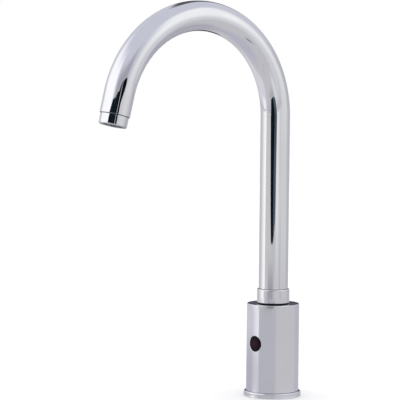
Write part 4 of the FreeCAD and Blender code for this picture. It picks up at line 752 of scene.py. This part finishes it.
@dataclass
class Studio:
    """Floor, surroundings and camera of the photograph.

    Attributes:
        azimuth: camera's turn round the tap from straight over the sensor, in degrees.
        elevation: camera's height above the level, in degrees.
        distance: from the aim to the camera, in metres.
        focal: focal length in widths of the frame.
        roll: camera's roll, in degrees.
        aim_height: height of the aim, in metres.
        aim_side: how far the aim stands to the camera's right, in metres.
        sensor_width: width of the camera's sensor, in millimetres.
        daylight: strength of the light on matt surfaces.
        card_distance: from the tap's axis to the dark cards, in metres.
        clipping: nearest and farthest that the camera sees, in metres.
        floor_radius: radius of the floor, in metres.
    """

    azimuth: float = 45.60
    elevation: float = 4.33
    distance: float = 2.22267
    focal: float = 2332.19 / 400.0
    roll: float = 0.53
    aim_height: float = 0.18688
    aim_side: float = -0.0708
    sensor_width: float = 36.0
    daylight: float = 1.25
    card_distance: float = 0.545
    clipping: tuple[float, float] = (0.05, 50.0)
    floor_radius: float = 3.0

    def backwards(self) -> Vector:
        """Way from the aim to the camera."""
        turn, rise = math.radians(self.azimuth), math.radians(self.elevation)
        return Vector((math.sin(turn) * math.cos(rise), -math.cos(turn) * math.cos(rise), math.sin(rise)))

    def rightwards(self) -> Vector:
        """Level way to the camera's right."""
        turn = math.radians(self.azimuth)
        return Vector((math.cos(turn), math.sin(turn), 0.0))

    def camera(self) -> None:
        """Adds the camera and makes it the scene's."""
        back, right = self.backwards(), self.rightwards()
        up = back.cross(right)
        roll = math.radians(self.roll)
        across = right * math.cos(roll) + up * math.sin(roll)
        upright = up * math.cos(roll) - right * math.sin(roll)
        place = Vector((0.0, 0.0, self.aim_height)) + right * self.aim_side + back * self.distance
        data = bpy.data.cameras.new("camera")
        data.sensor_width = self.sensor_width
        data.lens = self.focal * self.sensor_width
        data.clip_start, data.clip_end = self.clipping
        camera = bpy.data.objects.new("camera", data)
        turn = Matrix((across, upright, back)).transposed()
        camera.matrix_world = Matrix.Translation(place) @ turn.to_4x4()
        bpy.context.scene.collection.objects.link(camera)
        bpy.context.scene.camera = camera

    def floor(self) -> None:
        """Adds the plain pale floor."""
        bpy.ops.object.select_all(action="DESELECT")
        bpy.ops.mesh.primitive_circle_add(vertices=128, radius=self.floor_radius, fill_type="NGON")
        floor = bpy.context.object
        floor.name = "floor"
        material = bpy.data.materials.new("pale_floor")
        desk = NodeDesk(material)
        shader = desk.add("ShaderNodeBsdfPrincipled", None, {
            "Base Color": (0.93, 0.93, 0.935), "Roughness": 0.9, "Specular IOR Level": 0.1})
        desk.show(shader.outputs[0])
        floor.data.materials.append(material)
        floor.visible_glossy = False

    def toward(self, side: float, distance: float, height: float) -> Vector:
        """Place round the tap.

        Args:
            side: angle from the camera to the right, in degrees.
            distance: from the tap's axis, in metres.
            height: above the floor, in metres.

        Returns:
            The place.
        """
        turn = math.radians(self.azimuth + side)
        return Vector((math.sin(turn) * distance, -math.cos(turn) * distance, height))

    def mirrored_only(self, name: str, corners: list[Vector], light: Callable[[NodeDesk], Socket],
                      cover: Callable[[NodeDesk], Socket] | None = None) -> None:
        """Adds a sheet of the studio that only the plating mirrors.

        Args:
            name: name of the sheet.
            corners: its corners in order.
            light: gives its colour from a node desk.
            cover: gives how solid it is from a node desk; solid all over if left out.
        """
        mesh = bpy.data.meshes.new(name)
        mesh.from_pydata([tuple(corner) for corner in corners], [], [tuple(range(len(corners)))])
        sheet = bpy.data.objects.new(name, mesh)
        bpy.context.scene.collection.objects.link(sheet)
        material = bpy.data.materials.new(name)
        desk = NodeDesk(material)
        glow = desk.add("ShaderNodeEmission", None, {"Color": light(desk)}).outputs[0]
        if cover is not None:
            clear = desk.add("ShaderNodeBsdfTransparent").outputs[0]
            glow = desk.add("ShaderNodeMixShader", None, {0: cover(desk), 1: clear, 2: glow}).outputs[0]
        desk.show(glow)
        mesh.materials.append(material)
        for ray in ("camera", "diffuse", "transmission", "volume_scatter", "shadow"):
            setattr(sheet, f"visible_{ray}", False)

    def cards(self) -> None:
        """Adds the two dark cards beside the camera, whose streak runs down the spout, and the screens."""
        for name, outline, light in (
                ("black_card", BLACK_CARD, lambda desk: self.plain(desk, BLACK_TONE, BLACK_DIM)),
                ("grey_card", GREY_CARD, lambda desk: self.faded(desk, *GREY_TONES, *GREY_FADE))):
            corners = [self.toward(side, self.card_distance, height) for side, height in outline]
            self.mirrored_only(name, corners, light)
        for screen in SCREENS:
            self.stand(screen)

    def stand(self, screen: Screen) -> None:
        """Adds an upright screen that faces the tap.

        Args:
            screen: the screen.
        """
        middle = self.toward(screen.side, screen.distance, 0.0)
        out = middle.normalized()
        right = Vector((-out.y, out.x, 0.0))
        (near, far), (low, high) = screen.across, screen.heights
        corners = [middle + right * x + Vector((0.0, 0.0, z))
                   for x, z in ((near, low), (far, low), (far, high), (near, high))]
        self.mirrored_only(screen.name, corners, lambda desk: self.plain(desk, screen.colour, SCREEN_DIM),
                           lambda desk: screen.cover(desk, right))

    @staticmethod
    def plain(desk: NodeDesk, colour: Rgb, dim: float) -> Socket:
        """A card's light with clouds that dim it down to a share.

        Args:
            desk: where nodes are added.
            colour: the light.
            dim: the share.

        Returns:
            The light as a socket.
        """
        clouds = desk.noise(desk.place(), CARD_CLOUDS, detail=2.0)
        darker = (colour[0] * dim, colour[1] * dim, colour[2] * dim)
        return desk.blend(desk.ranged(clouds, 0.0, 1.0), darker, colour)

    @staticmethod
    def faded(desk: NodeDesk, low: Rgb, high: Rgb, start: float, end: float) -> Socket:
        """A card's colour that changes from low to high between two heights, in metres."""
        height = desk.add("ShaderNodeSeparateXYZ", None, {0: desk.place()}).outputs[2]
        return desk.blend(desk.ranged(height, 0.0, 1.0, start, end), low, high)

    def angles(self, desk: NodeDesk, way: Socket) -> tuple[Socket, Socket]:
        """Angles of a direction or place round the tap.

        Args:
            desk: where nodes are added.
            way: direction, or place from the tap's foot.

        Returns:
            Degrees to the right of the camera, and degrees above the level.
        """
        turned = desk.add("ShaderNodeVectorRotate", {"rotation_type": "Z_AXIS"}, {
            "Vector": way, "Angle": math.radians(90.0 - self.azimuth)}).outputs[0]
        unit = desk.add("ShaderNodeVectorMath", {"operation": "NORMALIZE"}, {0: turned}).outputs[0]
        parts = desk.add("ShaderNodeSeparateXYZ", None, {0: unit}).outputs
        side = desk.maths("MULTIPLY", desk.maths("ARCTAN2", parts[1], parts[0]), math.degrees(1.0))
        rise = desk.maths("MULTIPLY", desk.maths("ARCSINE", parts[2]), math.degrees(1.0))
        return side, rise

    def surroundings(self) -> None:
        """Adds the light: a white studio for the eye, with soft panels for the plating to mirror."""
        scene = bpy.context.scene
        scene.view_settings.view_transform = "Standard"
        scene.view_settings.look = "None"
        world = bpy.data.worlds.new("studio")
        scene.world = world
        desk = NodeDesk(world)
        side, rise = self.angles(desk, desk.add("ShaderNodeTexCoord").outputs["Generated"])
        light = desk.blend(desk.ranged(rise, 0.0, 1.0, *WALL_FADE), *WALL_TONES)
        for panel in PANELS:
            light = desk.blend(panel.mask(desk, side, rise), light, panel.colour)
        rays = desk.add("ShaderNodeLightPath").outputs
        white = (1.0, 1.0, 1.0)
        mirrored, seen, soft = (
            desk.add("ShaderNodeBackground", None, {"Color": colour, "Strength": strength}).outputs[0]
            for colour, strength in ((light, 1.0), (white, 1.0), (white, self.daylight)))
        mix = "ShaderNodeMixShader"
        unseen = desk.add(mix, None, {0: rays["Is Diffuse Ray"], 1: mirrored, 2: soft}).outputs[0]
        whole = desk.add(mix, None, {0: rays["Is Camera Ray"], 1: unseen, 2: seen}).outputs[0]
        desk.show(whole, "ShaderNodeOutputWorld")


# ---- workbench ------------------------------------------------------------------------------------
class Workbench:
    """Shapes pieces with Blender's own modelling tools. Sizes are in millimetres."""

    @staticmethod
    def clear() -> None:
        """Leaves edit mode and deselects everything."""
        if bpy.context.object is not None and bpy.context.object.mode != "OBJECT":
            bpy.ops.object.mode_set(mode="OBJECT")
        bpy.ops.object.select_all(action="DESELECT")

    @staticmethod
    def hoop(name: str, radius: float, height: float, corners: int) -> bpy.types.Object:
        """Starts a piece as an open circle and goes into edit mode with it selected.

        Args:
            name: name of the piece.
            radius: the circle's radius.
            height: its height above the deck.
            corners: its corners.

        Returns:
            The piece.
        """
        Workbench.clear()
        bpy.ops.mesh.primitive_circle_add(vertices=corners, radius=radius * MM, fill_type="NOTHING",
                                          location=(0.0, 0.0, height * MM))
        piece = bpy.context.object
        piece.name = piece.data.name = name
        bpy.ops.object.transform_apply(location=True, rotation=True, scale=True)
        bpy.ops.object.mode_set(mode="EDIT")
        bpy.ops.mesh.select_mode(type="EDGE")
        bpy.ops.mesh.select_all(action="SELECT")
        return piece

    @staticmethod
    def turned(name: str, outline: Outline, corners: int = 128) -> bpy.types.Object:
        """Turns a closed outline round the upright axis, as on a lathe.

        Args:
            name: name of the piece.
            outline: radius and height of each corner, in order.
            corners: corners round the axis.

        Returns:
            The closed piece, in object mode.
        """
        piece = Workbench.hoop(name, outline[0][0], outline[0][1], corners)
        for (radius, height), (next_radius, next_height) in zip(outline, outline[1:]):
            step = (0.0, 0.0, (next_height - height) * MM)
            bpy.ops.mesh.extrude_region_move(TRANSFORM_OT_translate={"value": step})
            wider = next_radius / radius
            bpy.ops.transform.resize(value=(wider, wider, 1.0), center_override=(0.0, 0.0, 0.0))
        bpy.ops.mesh.select_all(action="DESELECT")
        bpy.ops.mesh.select_non_manifold()
        bpy.ops.mesh.bridge_edge_loops()
        Workbench.outwards()
        return piece

    @staticmethod
    def band(name: str, radii: tuple[float, float], heights: tuple[float, float],
             rounding: float) -> bpy.types.Object:
        """Turns a plain ring with rounded edges.

        Args:
            name: name of the ring.
            radii: its inner and outer radius.
            heights: its lower and upper face.
            rounding: size of the rounding.

        Returns:
            The ring.
        """
        (inner, outer), (low, high) = radii, heights
        ring = Workbench.turned(name, [(inner, low), (outer, low), (outer, high), (inner, high)])
        Workbench.eased(ring, rounding)
        return ring

    @staticmethod
    def outwards() -> None:
        """Turns all faces outwards and leaves edit mode."""
        bpy.ops.mesh.select_all(action="SELECT")
        bpy.ops.mesh.remove_doubles(threshold=1e-7)
        bpy.ops.mesh.normals_make_consistent(inside=False)
        bpy.ops.object.mode_set(mode="OBJECT")

    @staticmethod
    def apply(piece: bpy.types.Object, kind: str, settings: dict) -> None:
        """Adds a modifier and applies it.

        Args:
            piece: the piece.
            kind: Blender's name of the modifier.
            settings: its options by name.
        """
        Workbench.clear()
        piece.select_set(True)
        bpy.context.view_layer.objects.active = piece
        modifier = piece.modifiers.new(kind.lower(), kind)
        for name, value in settings.items():
            setattr(modifier, name, value)
        bpy.ops.object.modifier_apply(modifier=modifier.name)

    @staticmethod
    def eased(piece: bpy.types.Object, radius: float, angle: float = 25.0, steps: int = 3) -> None:
        """Rounds the sharp edges and shades the piece smoothly, with flat faces kept flat.

        Args:
            piece: the piece.
            radius: size of the rounding.
            angle: edges sharper than this are rounded, in degrees.
            steps: faces across each rounding.
        """
        Workbench.apply(piece, "BEVEL", {
            "width": radius * MM, "segments": steps, "limit_method": "ANGLE",
            "angle_limit": math.radians(angle), "use_clamp_overlap": True})
        bpy.ops.object.shade_smooth()
        Workbench.apply(piece, "WEIGHTED_NORMAL", {"weight": 60, "keep_sharp": False})

    @staticmethod
    def put(piece: bpy.types.Object, matrix: Matrix) -> None:
        """Moves a piece's mesh, so that its object stays at the origin.

        Args:
            piece: the piece.
            matrix: where it goes, in metres.
        """
        Workbench.clear()
        piece.select_set(True)
        bpy.context.view_layer.objects.active = piece
        piece.matrix_world = matrix
        bpy.ops.object.transform_apply(location=True, rotation=True, scale=True)

    @staticmethod
    def quarter(middle: tuple[float, float], radius: float, start: float, steps: int = 6) -> Outline:
        """Quarter circle of an outline.

        Args:
            middle: radius and height of its middle.
            radius: its own radius.
            start: angle where it starts, in degrees from straight outwards; it runs upwards and in.
            steps: its chords.

        Returns:
            Its corners.
        """
        angles = [math.radians(start + 90.0 * step / steps) for step in range(steps + 1)]
        return [(middle[0] + radius * math.cos(angle), middle[1] + radius * math.sin(angle))
                for angle in angles]


# ---- sub-assemblies -------------------------------------------------------------------------------
@dataclass
class SubAssembly:
    """A group of the tap's pieces: CAD nodes that stay, and finer pieces that stand for some of them.

    Attributes:
        wardrobe: the finishes.
        body: the CAD body that new pieces ride on.
    """

    frame: dict
    wardrobe: Wardrobe
    body: str = "tap_body"

    def nodes(self) -> dict[Finishes, tuple[str, ...]]:
        """CAD nodes that stay, by their finish."""
        return {}

    def build(self) -> list[bpy.types.Object]:
        """Makes the finer pieces; a group without any keeps its nodes as they are."""
        return []

    def fit(self, piece: bpy.types.Object, node: str, finish: Finishes) -> bpy.types.Object:
        """Dresses a new piece and puts it in a CAD node's stead.

        Args:
            piece: the new piece, in place.
            node: the CAD node that it stands for.
            finish: its finish.

        Returns:
            The piece.
        """
        self.wardrobe.dress(piece, finish)
        finish.slot
        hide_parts(node)
        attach(piece, self.body)
        LOG.info("%s stands for %s: %d faces", piece.name, node, len(piece.data.polygons))
        return piece

    def add(self, piece: bpy.types.Object, finish: Finishes) -> bpy.types.Object:
        """Dresses a small piece that no CAD node stands for.

        Args:
            piece: the new piece, in place.
            finish: its finish.

        Returns:
            The piece.
        """
        self.wardrobe.dress(piece, finish)
        finish.slot
        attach(piece, self.body)
        LOG.info("%s is added: %d faces", piece.name, len(piece.data.polygons))
        return piece

    def finish(self) -> None:
        """Builds the new pieces and dresses the nodes that stay."""
        self.build()
        for finish, names in self.nodes().items():
            for name in names:
                self.wardrobe.dress(self.frame["nodes"][name], finish)
                LOG.info("%s is dressed in %s", name, finish.name)


@dataclass
class Foot(SubAssembly):
    """Base ring with its gasket, and the plug that closes the body's foot.

    Attributes:
        rim_radius: radius of the ring.
        opening_radius: radius of its opening.
        height: its height.
        top_round: rounding of its upper edge.
        foot_round: rounding of its lower edge.
        groove: inner radius, outer radius and depth of the gasket's groove.
        lip: inner radius, outer radius and top of the lip inside the body.
    """

    rim_radius: float = 27.25
    opening_radius: float = 16.5
    height: float = 5.0
    top_round: float = 1.2
    foot_round: float = 0.5
    groove: tuple[float, float, float] = (19.25, 23.25, 1.5)
    lip: tuple[float, float, float] = (19.05, 21.95, 7.0)

    def nodes(self) -> dict[Finishes, tuple[str, ...]]:
        """Plug, gasket, seal, screws and cable grommet."""
        return {Finishes.rubber: ("base_gasket", "base_plug_seal", "cable_grommet"),
                Finishes.brass: ("base_plug",),
                Finishes.steel: ("base_plug_screws",)}

    def build(self) -> list[bpy.types.Object]:
        """Turns the base ring, round at its top and eased at its foot.

        Returns:
            The new pieces.
        """
        inner, outer, deep = self.groove
        lip_inner, lip_outer, lip_top = self.lip
        outline = [(self.opening_radius, 0.0), (inner, 0.0), (inner, deep), (outer, deep), (outer, 0.0)]
        outline += Workbench.quarter((self.rim_radius - self.foot_round, self.foot_round),
                                     self.foot_round, start=-90.0, steps=4)
        outline += Workbench.quarter((self.rim_radius - self.top_round, self.height - self.top_round),
                                     self.top_round, start=0.0, steps=8)
        outline += [(lip_outer, self.height), (lip_outer, lip_top), (lip_inner, lip_top),
                    (lip_inner, self.height), (self.opening_radius, self.height)]
        ring = Workbench.turned("base_ring", outline, corners=144)
        Workbench.eased(ring, radius=0.12, angle=30.0, steps=2)
        return [self.fit(ring, "base_plate", Finishes.chrome)]


@dataclass
class InletCheck(SubAssembly):
    """Strainer, check valve and riser between the hose and the valve."""

    def nodes(self) -> dict[Finishes, tuple[str, ...]]:
        """Strainer, cartridge, poppet, spring, riser and their seals."""
        return {Finishes.steel: ("inlet_strainer", "check_spring"),
                Finishes.white_plastic: ("check_valve_body", "check_poppet"),
                Finishes.rubber: ("check_seal", "riser_seals"),
                Finishes.brass: ("riser_tube",)}


@dataclass
class PilotValve(SubAssembly):
    """Diaphragm valve under the spout's socket."""

    def nodes(self) -> dict[Finishes, tuple[str, ...]]:
        """Head, bonnet, diaphragm, its disc, screws and seal."""
        return {Finishes.black_plastic: ("valve_head",),
                Finishes.rubber: ("valve_head_seal", "diaphragm"),
                Finishes.steel: ("valve_screws",),
                Finishes.white_plastic: ("diaphragm_disc",),
                Finishes.brass: ("valve_bonnet",)}


@dataclass
class Solenoid(SubAssembly):
    """Latching solenoid that opens the pilot, with its wound coil.

    Attributes:
        winding_radius: outer radius of the winding.
        hub_radius: its inner radius.
        winding_span: its lower and upper end.
        wire: thickness of its wire.
        bead: outline of one turn: share of the pitch, and how far it stands out in widths of the wire.
    """

    winding_radius: float = 9.9
    hub_radius: float = 5.45
    winding_span: tuple[float, float] = (35.5, 44.0)
    wire: float = 0.425
    bead: Outline = ((0.2, 0.3), (0.5, 0.5), (0.8, 0.3), (1.0, 0.0))

    def nodes(self) -> dict[Finishes, tuple[str, ...]]:
        """Armature tube, core, plunger, spring, magnet, yoke, bobbin and nut."""
        return {Finishes.steel: ("armature_tube", "fixed_core", "plunger", "plunger_spring", "coil_yoke",
                                 "coil_nut"),
                Finishes.rubber: ("plunger_seat",),
                Finishes.magnet: ("latch_magnet",),
                Finishes.black_plastic: ("coil_bobbin",)}

    def build(self) -> list[bpy.types.Object]:
        """Turns the winding, with a bead for each turn of its outer layer.

        Returns:
            The new pieces.
        """
        low, high = self.winding_span
        turns = round((high - low) / self.wire)
        pitch = (high - low) / turns
        valley = self.winding_radius - self.wire / 2
        outline = [(self.hub_radius, low), (valley, low)]
        outline += [(valley + self.wire * bulge, low + pitch * (turn + share))
                    for turn in range(turns) for share, bulge in self.bead]
        outline[-1] = (valley, high)
        outline.append((self.hub_radius, high))
        winding = Workbench.turned("coil_winding", outline, corners=96)
        Workbench.eased(winding, radius=0.02, angle=60.0, steps=1)
        return [self.fit(winding, "coil", Finishes.winding)]


@dataclass
class SensorModule(SubAssembly):
    """Infrared sensor behind its smoked lens in the front of the body, with the satin edge of its window,
    whose pale chrome is partly a painted highlight.

    Attributes:
        body_radius: radius of the body.
        trim: outline of the window's edge: radius, and height out of the body.
    """

    body_radius: float = 25.0
    trim: Outline = ((7.58, -0.50), (7.58, -0.37), (7.97, 0.03), (8.06, 0.02), (8.06, -0.03))

    def nodes(self) -> dict[Finishes, tuple[str, ...]]:
        """Housing, lens, gasket, board, diodes, signal light and screws."""
        return {Finishes.black_plastic: ("sensor_housing",),
                Finishes.sensor_lens: ("sensor_lens",),
                Finishes.rubber: ("sensor_gasket",),
                Finishes.circuit_board: ("sensor_board",),
                Finishes.diode: ("ir_emitter", "ir_receiver"),
                Finishes.signal_led: ("status_led",),
                Finishes.steel: ("sensor_screws",)}

    def build(self) -> list[bpy.types.Object]:
        """Turns the window's bevelled edge and bends it to the curve of the body's front.

        Returns:
            The new pieces.
        """
        edge = Workbench.turned("window_trim", self.trim, corners=96)
        Workbench.eased(edge, radius=0.02, angle=25.0, steps=2)
        front = Vector((0.0, -self.body_radius, SENSOR_HEIGHT)) * MM
        Workbench.put(edge, Matrix.Translation(front) @ Matrix.Rotation(math.radians(90.0), 4, "X"))
        radius = self.body_radius * MM
        for vertex in edge.data.vertices:
            vertex.co.y += radius - math.sqrt(radius ** 2 - vertex.co.x ** 2)
        edge.data.update()
        # The edge's pale, partly matt chrome is partly a painted highlight on the window's rim.
        return [self.add(edge, Finishes.satin_highlight_chrome)]


@dataclass
class BodyShell(SubAssembly):
    """Chromed body, the ring that the spout glides on and the screw that keeps the spout in.

    Attributes:
        glide_radii: inner and outer radius of the glide ring.
        glide_span: its lower and upper face.
        seal_and_shadow_radii: inner and outer radius of the thin dark seal over the base ring, partly a
            painted shadow in that joint.
        seal_and_shadow_span: its lower and upper face.
    """

    glide_radii: tuple[float, float] = (10.8, 14.75)
    glide_span: tuple[float, float] = (88.8, 89.9)
    seal_and_shadow_radii: tuple[float, float] = (24.35, 24.66)
    seal_and_shadow_span: tuple[float, float] = (5.03, 5.18)

    def nodes(self) -> dict[Finishes, tuple[str, ...]]:
        """Casting and grub screw."""
        return {Finishes.chrome: ("body_casting",), Finishes.steel: ("spout_grub_screw",)}

    def build(self) -> list[bpy.types.Object]:
        """Turns the glide ring, and the thin dark seal in the joint over the base ring, which is partly a
        painted shadow in that joint.

        Returns:
            The new pieces.
        """
        ring = Workbench.band("glide_washer", self.glide_radii, self.glide_span, rounding=0.15)
        # Thin dark seal in the joint over the base ring: partly a seal, partly a painted shadow in the
        # joint.
        seal = Workbench.band("foot_joint_seal_and_shadow", self.seal_and_shadow_radii, self.seal_and_shadow_span, rounding=0.05)
        return [self.fit(ring, "glide_ring", Finishes.black_plastic), self.add(seal, Finishes.rubber)]


@dataclass
class Spout(SubAssembly):
    """Swan neck: turned foot, chromed collar and the bent tube.

    Attributes:
        body: the CAD body that it is.
        swivel: its turn at rest, in degrees.
        foot: height of the tube's lower end.
        radius: outer radius of the tube.
        wall: its wall.
        bend_start: height where the bend begins.
        bend_radius: radius of the bend.
        bend_angle: how far it bends, in degrees.
        tail: length of the straight end.
        collar_radii: inner and outer radius of the collar.
        collar_span: its lower and upper end.
        collar_round: rounding of its upper edge.
        seal_and_shadow_radii: inner and outer radius of the thin dark seal between collar and tube, partly a
            painted shadow in their gap.
        seal_and_shadow_span: its lower and upper face.
    """

    body: str = "spout"
    swivel: float = -5.4
    foot: float = 91.3
    radius: float = 13.985
    wall: float = 1.0
    bend_start: float = 267.4
    bend_radius: float = 94.4
    bend_angle: float = 165.7
    tail: float = 19.5
    collar_radii: tuple[float, float] = (14.05, 15.5)
    collar_span: tuple[float, float] = (89.9, 102.8)
    collar_round: float = 1.1
    seal_and_shadow_radii: tuple[float, float] = (14.0, 14.4)
    seal_and_shadow_span: tuple[float, float] = (102.78, 103.05)

    def nodes(self) -> dict[Finishes, tuple[str, ...]]:
        """Foot, seals and the bush in the outlet."""
        return {Finishes.brass: ("spout_foot", "outlet_bush"), Finishes.rubber: ("spout_seals",)}

    def turned_aside(self) -> Matrix:
        """Place of the spout at rest."""
        return Matrix.Rotation(math.radians(self.swivel), 4, "Z")

    def outlet(self) -> Matrix:
        """Place of the tube's open end at rest: its Z axis is the way the water leaves.

        Returns:
            Its matrix, in metres.
        """
        turn = Matrix.Rotation(math.radians(self.bend_angle), 4, "X")
        middle = Vector((0.0, -self.bend_radius, self.bend_start))
        end = middle + turn @ Vector((0.0, self.bend_radius, 0.0)) + turn @ Vector((0.0, 0.0, self.tail))
        return self.turned_aside() @ Matrix.Translation(end * MM) @ turn

    def build(self) -> list[bpy.types.Object]:
        """Sweeps the tube and turns the collar, with the thin dark seal between them that is partly a
        painted shadow in their gap.

        Returns:
            The new pieces.
        """
        # Thin dark seal between collar and tube: partly a seal, partly a painted shadow in their gap.
        seal = Workbench.band("collar_joint_seal_and_shadow", self.seal_and_shadow_radii, self.seal_and_shadow_span, rounding=0.08)
        Workbench.put(seal, self.turned_aside())
        return [self.fit(self.neck(), "spout_tube", Finishes.chrome),
                self.fit(self.sleeve(), "spout_collar", Finishes.chrome), self.add(seal, Finishes.rubber)]

    def neck(self) -> bpy.types.Object:
        """Sweeps the tube: upright leg, bend and straight tail, then gives it its wall.

        Returns:
            The tube, in place.
        """
        tube = Workbench.hoop("swan_neck", self.radius, self.foot, corners=96)
        rise = (0.0, 0.0, (self.bend_start - self.foot) * MM)
        bpy.ops.mesh.extrude_region_move(TRANSFORM_OT_translate={"value": rise})
        bpy.ops.mesh.spin(steps=120, angle=-math.radians(self.bend_angle), axis=(1.0, 0.0, 0.0),
                          center=(0.0, -self.bend_radius * MM, self.bend_start * MM))
        flow = Matrix.Rotation(math.radians(self.bend_angle), 3, "X") @ Vector((0.0, 0.0, self.tail * MM))
        bpy.ops.mesh.extrude_region_move(TRANSFORM_OT_translate={"value": flow})
        Workbench.outwards()
        Workbench.apply(tube, "SOLIDIFY", {
            "thickness": self.wall * MM, "offset": -1.0, "use_even_offset": True})
        Workbench.eased(tube, radius=0.15, angle=40.0, steps=3)
        Workbench.put(tube, self.turned_aside())
        return tube

    def sleeve(self) -> bpy.types.Object:
        """Turns the collar round the foot of the tube, rounded at its top.

        Returns:
            The collar, in place.
        """
        (inner, outer), (low, high), edge = self.collar_radii, self.collar_span, self.collar_round
        sleeve = Workbench.turned("collar_sleeve", [
            (inner, low), (outer, low),
            *Workbench.quarter((outer - edge, high - edge), edge, start=0.0, steps=9),
            (inner, high)])
        Workbench.eased(sleeve, radius=0.12)
        Workbench.put(sleeve, self.turned_aside())
        return sleeve


@dataclass
class Aerator(SubAssembly):
    """Aerator in the outlet: chromed housing, washer, strainer, insert and honeycomb.

    Attributes:
        outlet: place of the tube's open end.
        body: the CAD body that the pieces ride on.
        barrel_radius: radius of the barrel.
        neck_radius: radius of the neck that screws into the tube.
        bore_radius: radius of the bore.
        mouth_radius: radius inside the lip at the mouth.
        neck_length: length of the neck.
        length: length of the barrel.
        groove: width and depth of the joint's groove.
        lip_top: where the lip begins, from the joint.
        chamfer: chamfer at the mouth.
        seal_play: room under, over and beside the joint's seal.
    """

    outlet: Matrix = field(default_factory=Matrix)
    body: str = "spout"
    barrel_radius: float = 13.0
    neck_radius: float = 11.91
    bore_radius: float = 10.61
    mouth_radius: float = 9.81
    neck_length: float = 6.0
    length: float = 9.8
    groove: tuple[float, float] = (0.5, 0.7)
    lip_top: float = 8.2
    chamfer: float = 0.6
    seal_play: tuple[float, float, float] = (0.02, 0.15, 0.03)

    def nodes(self) -> dict[Finishes, tuple[str, ...]]:
        """Washer, strainer, insert and honeycomb."""
        return {Finishes.rubber: ("aerator_washer",),
                Finishes.steel: ("aerator_strainer",),
                Finishes.white_plastic: ("aerator_insert",),
                Finishes.grey_plastic: ("aerator_honeycomb",)}

    def build(self) -> list[bpy.types.Object]:
        """Turns the housing, with threaded neck, joint groove, barrel and inner lip, and the joint's seal.

        Returns:
            The new pieces.
        """
        width, deep = self.groove
        barrel = self.barrel_radius
        housing = Workbench.turned("aerator_barrel", [
            (self.bore_radius, -self.neck_length), (self.neck_radius, -self.neck_length),
            (self.neck_radius, 0.0), (barrel - deep, 0.0), (barrel - deep, width), (barrel, width),
            (barrel, self.length - self.chamfer), (barrel - self.chamfer, self.length),
            (self.mouth_radius, self.length), (self.mouth_radius, self.lip_top),
            (self.bore_radius, self.lip_top)])
        Workbench.eased(housing, radius=0.1)
        Workbench.put(housing, self.outlet)
        under, over, beside = self.seal_play
        seal = Workbench.band("outlet_joint_seal", (barrel - deep + under, barrel - over),
                              (beside, width - beside), rounding=0.12)
        Workbench.put(seal, self.outlet)
        return [self.fit(housing, "aerator_housing", Finishes.chrome), self.add(seal, Finishes.rubber)]


def main() -> None:
    """Loads the frame, builds and dresses each sub-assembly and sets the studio."""
    logging.basicConfig(level=logging.INFO, format="%(name)s: %(message)s")
    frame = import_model()
    wardrobe = Wardrobe()
    spout = Spout(frame, wardrobe)
    groups = [Foot(frame, wardrobe), InletCheck(frame, wardrobe), PilotValve(frame, wardrobe),
              Solenoid(frame, wardrobe), SensorModule(frame, wardrobe), BodyShell(frame, wardrobe),
              spout, Aerator(frame, wardrobe, outlet=spout.outlet())]
    for group in groups:
        LOG.info("building %s", type(group).__name__)
        group.finish()
    studio = Studio()
    studio.floor()
    studio.cards()
    studio.surroundings()
    studio.camera()


if __name__ == "__main__":
    main()
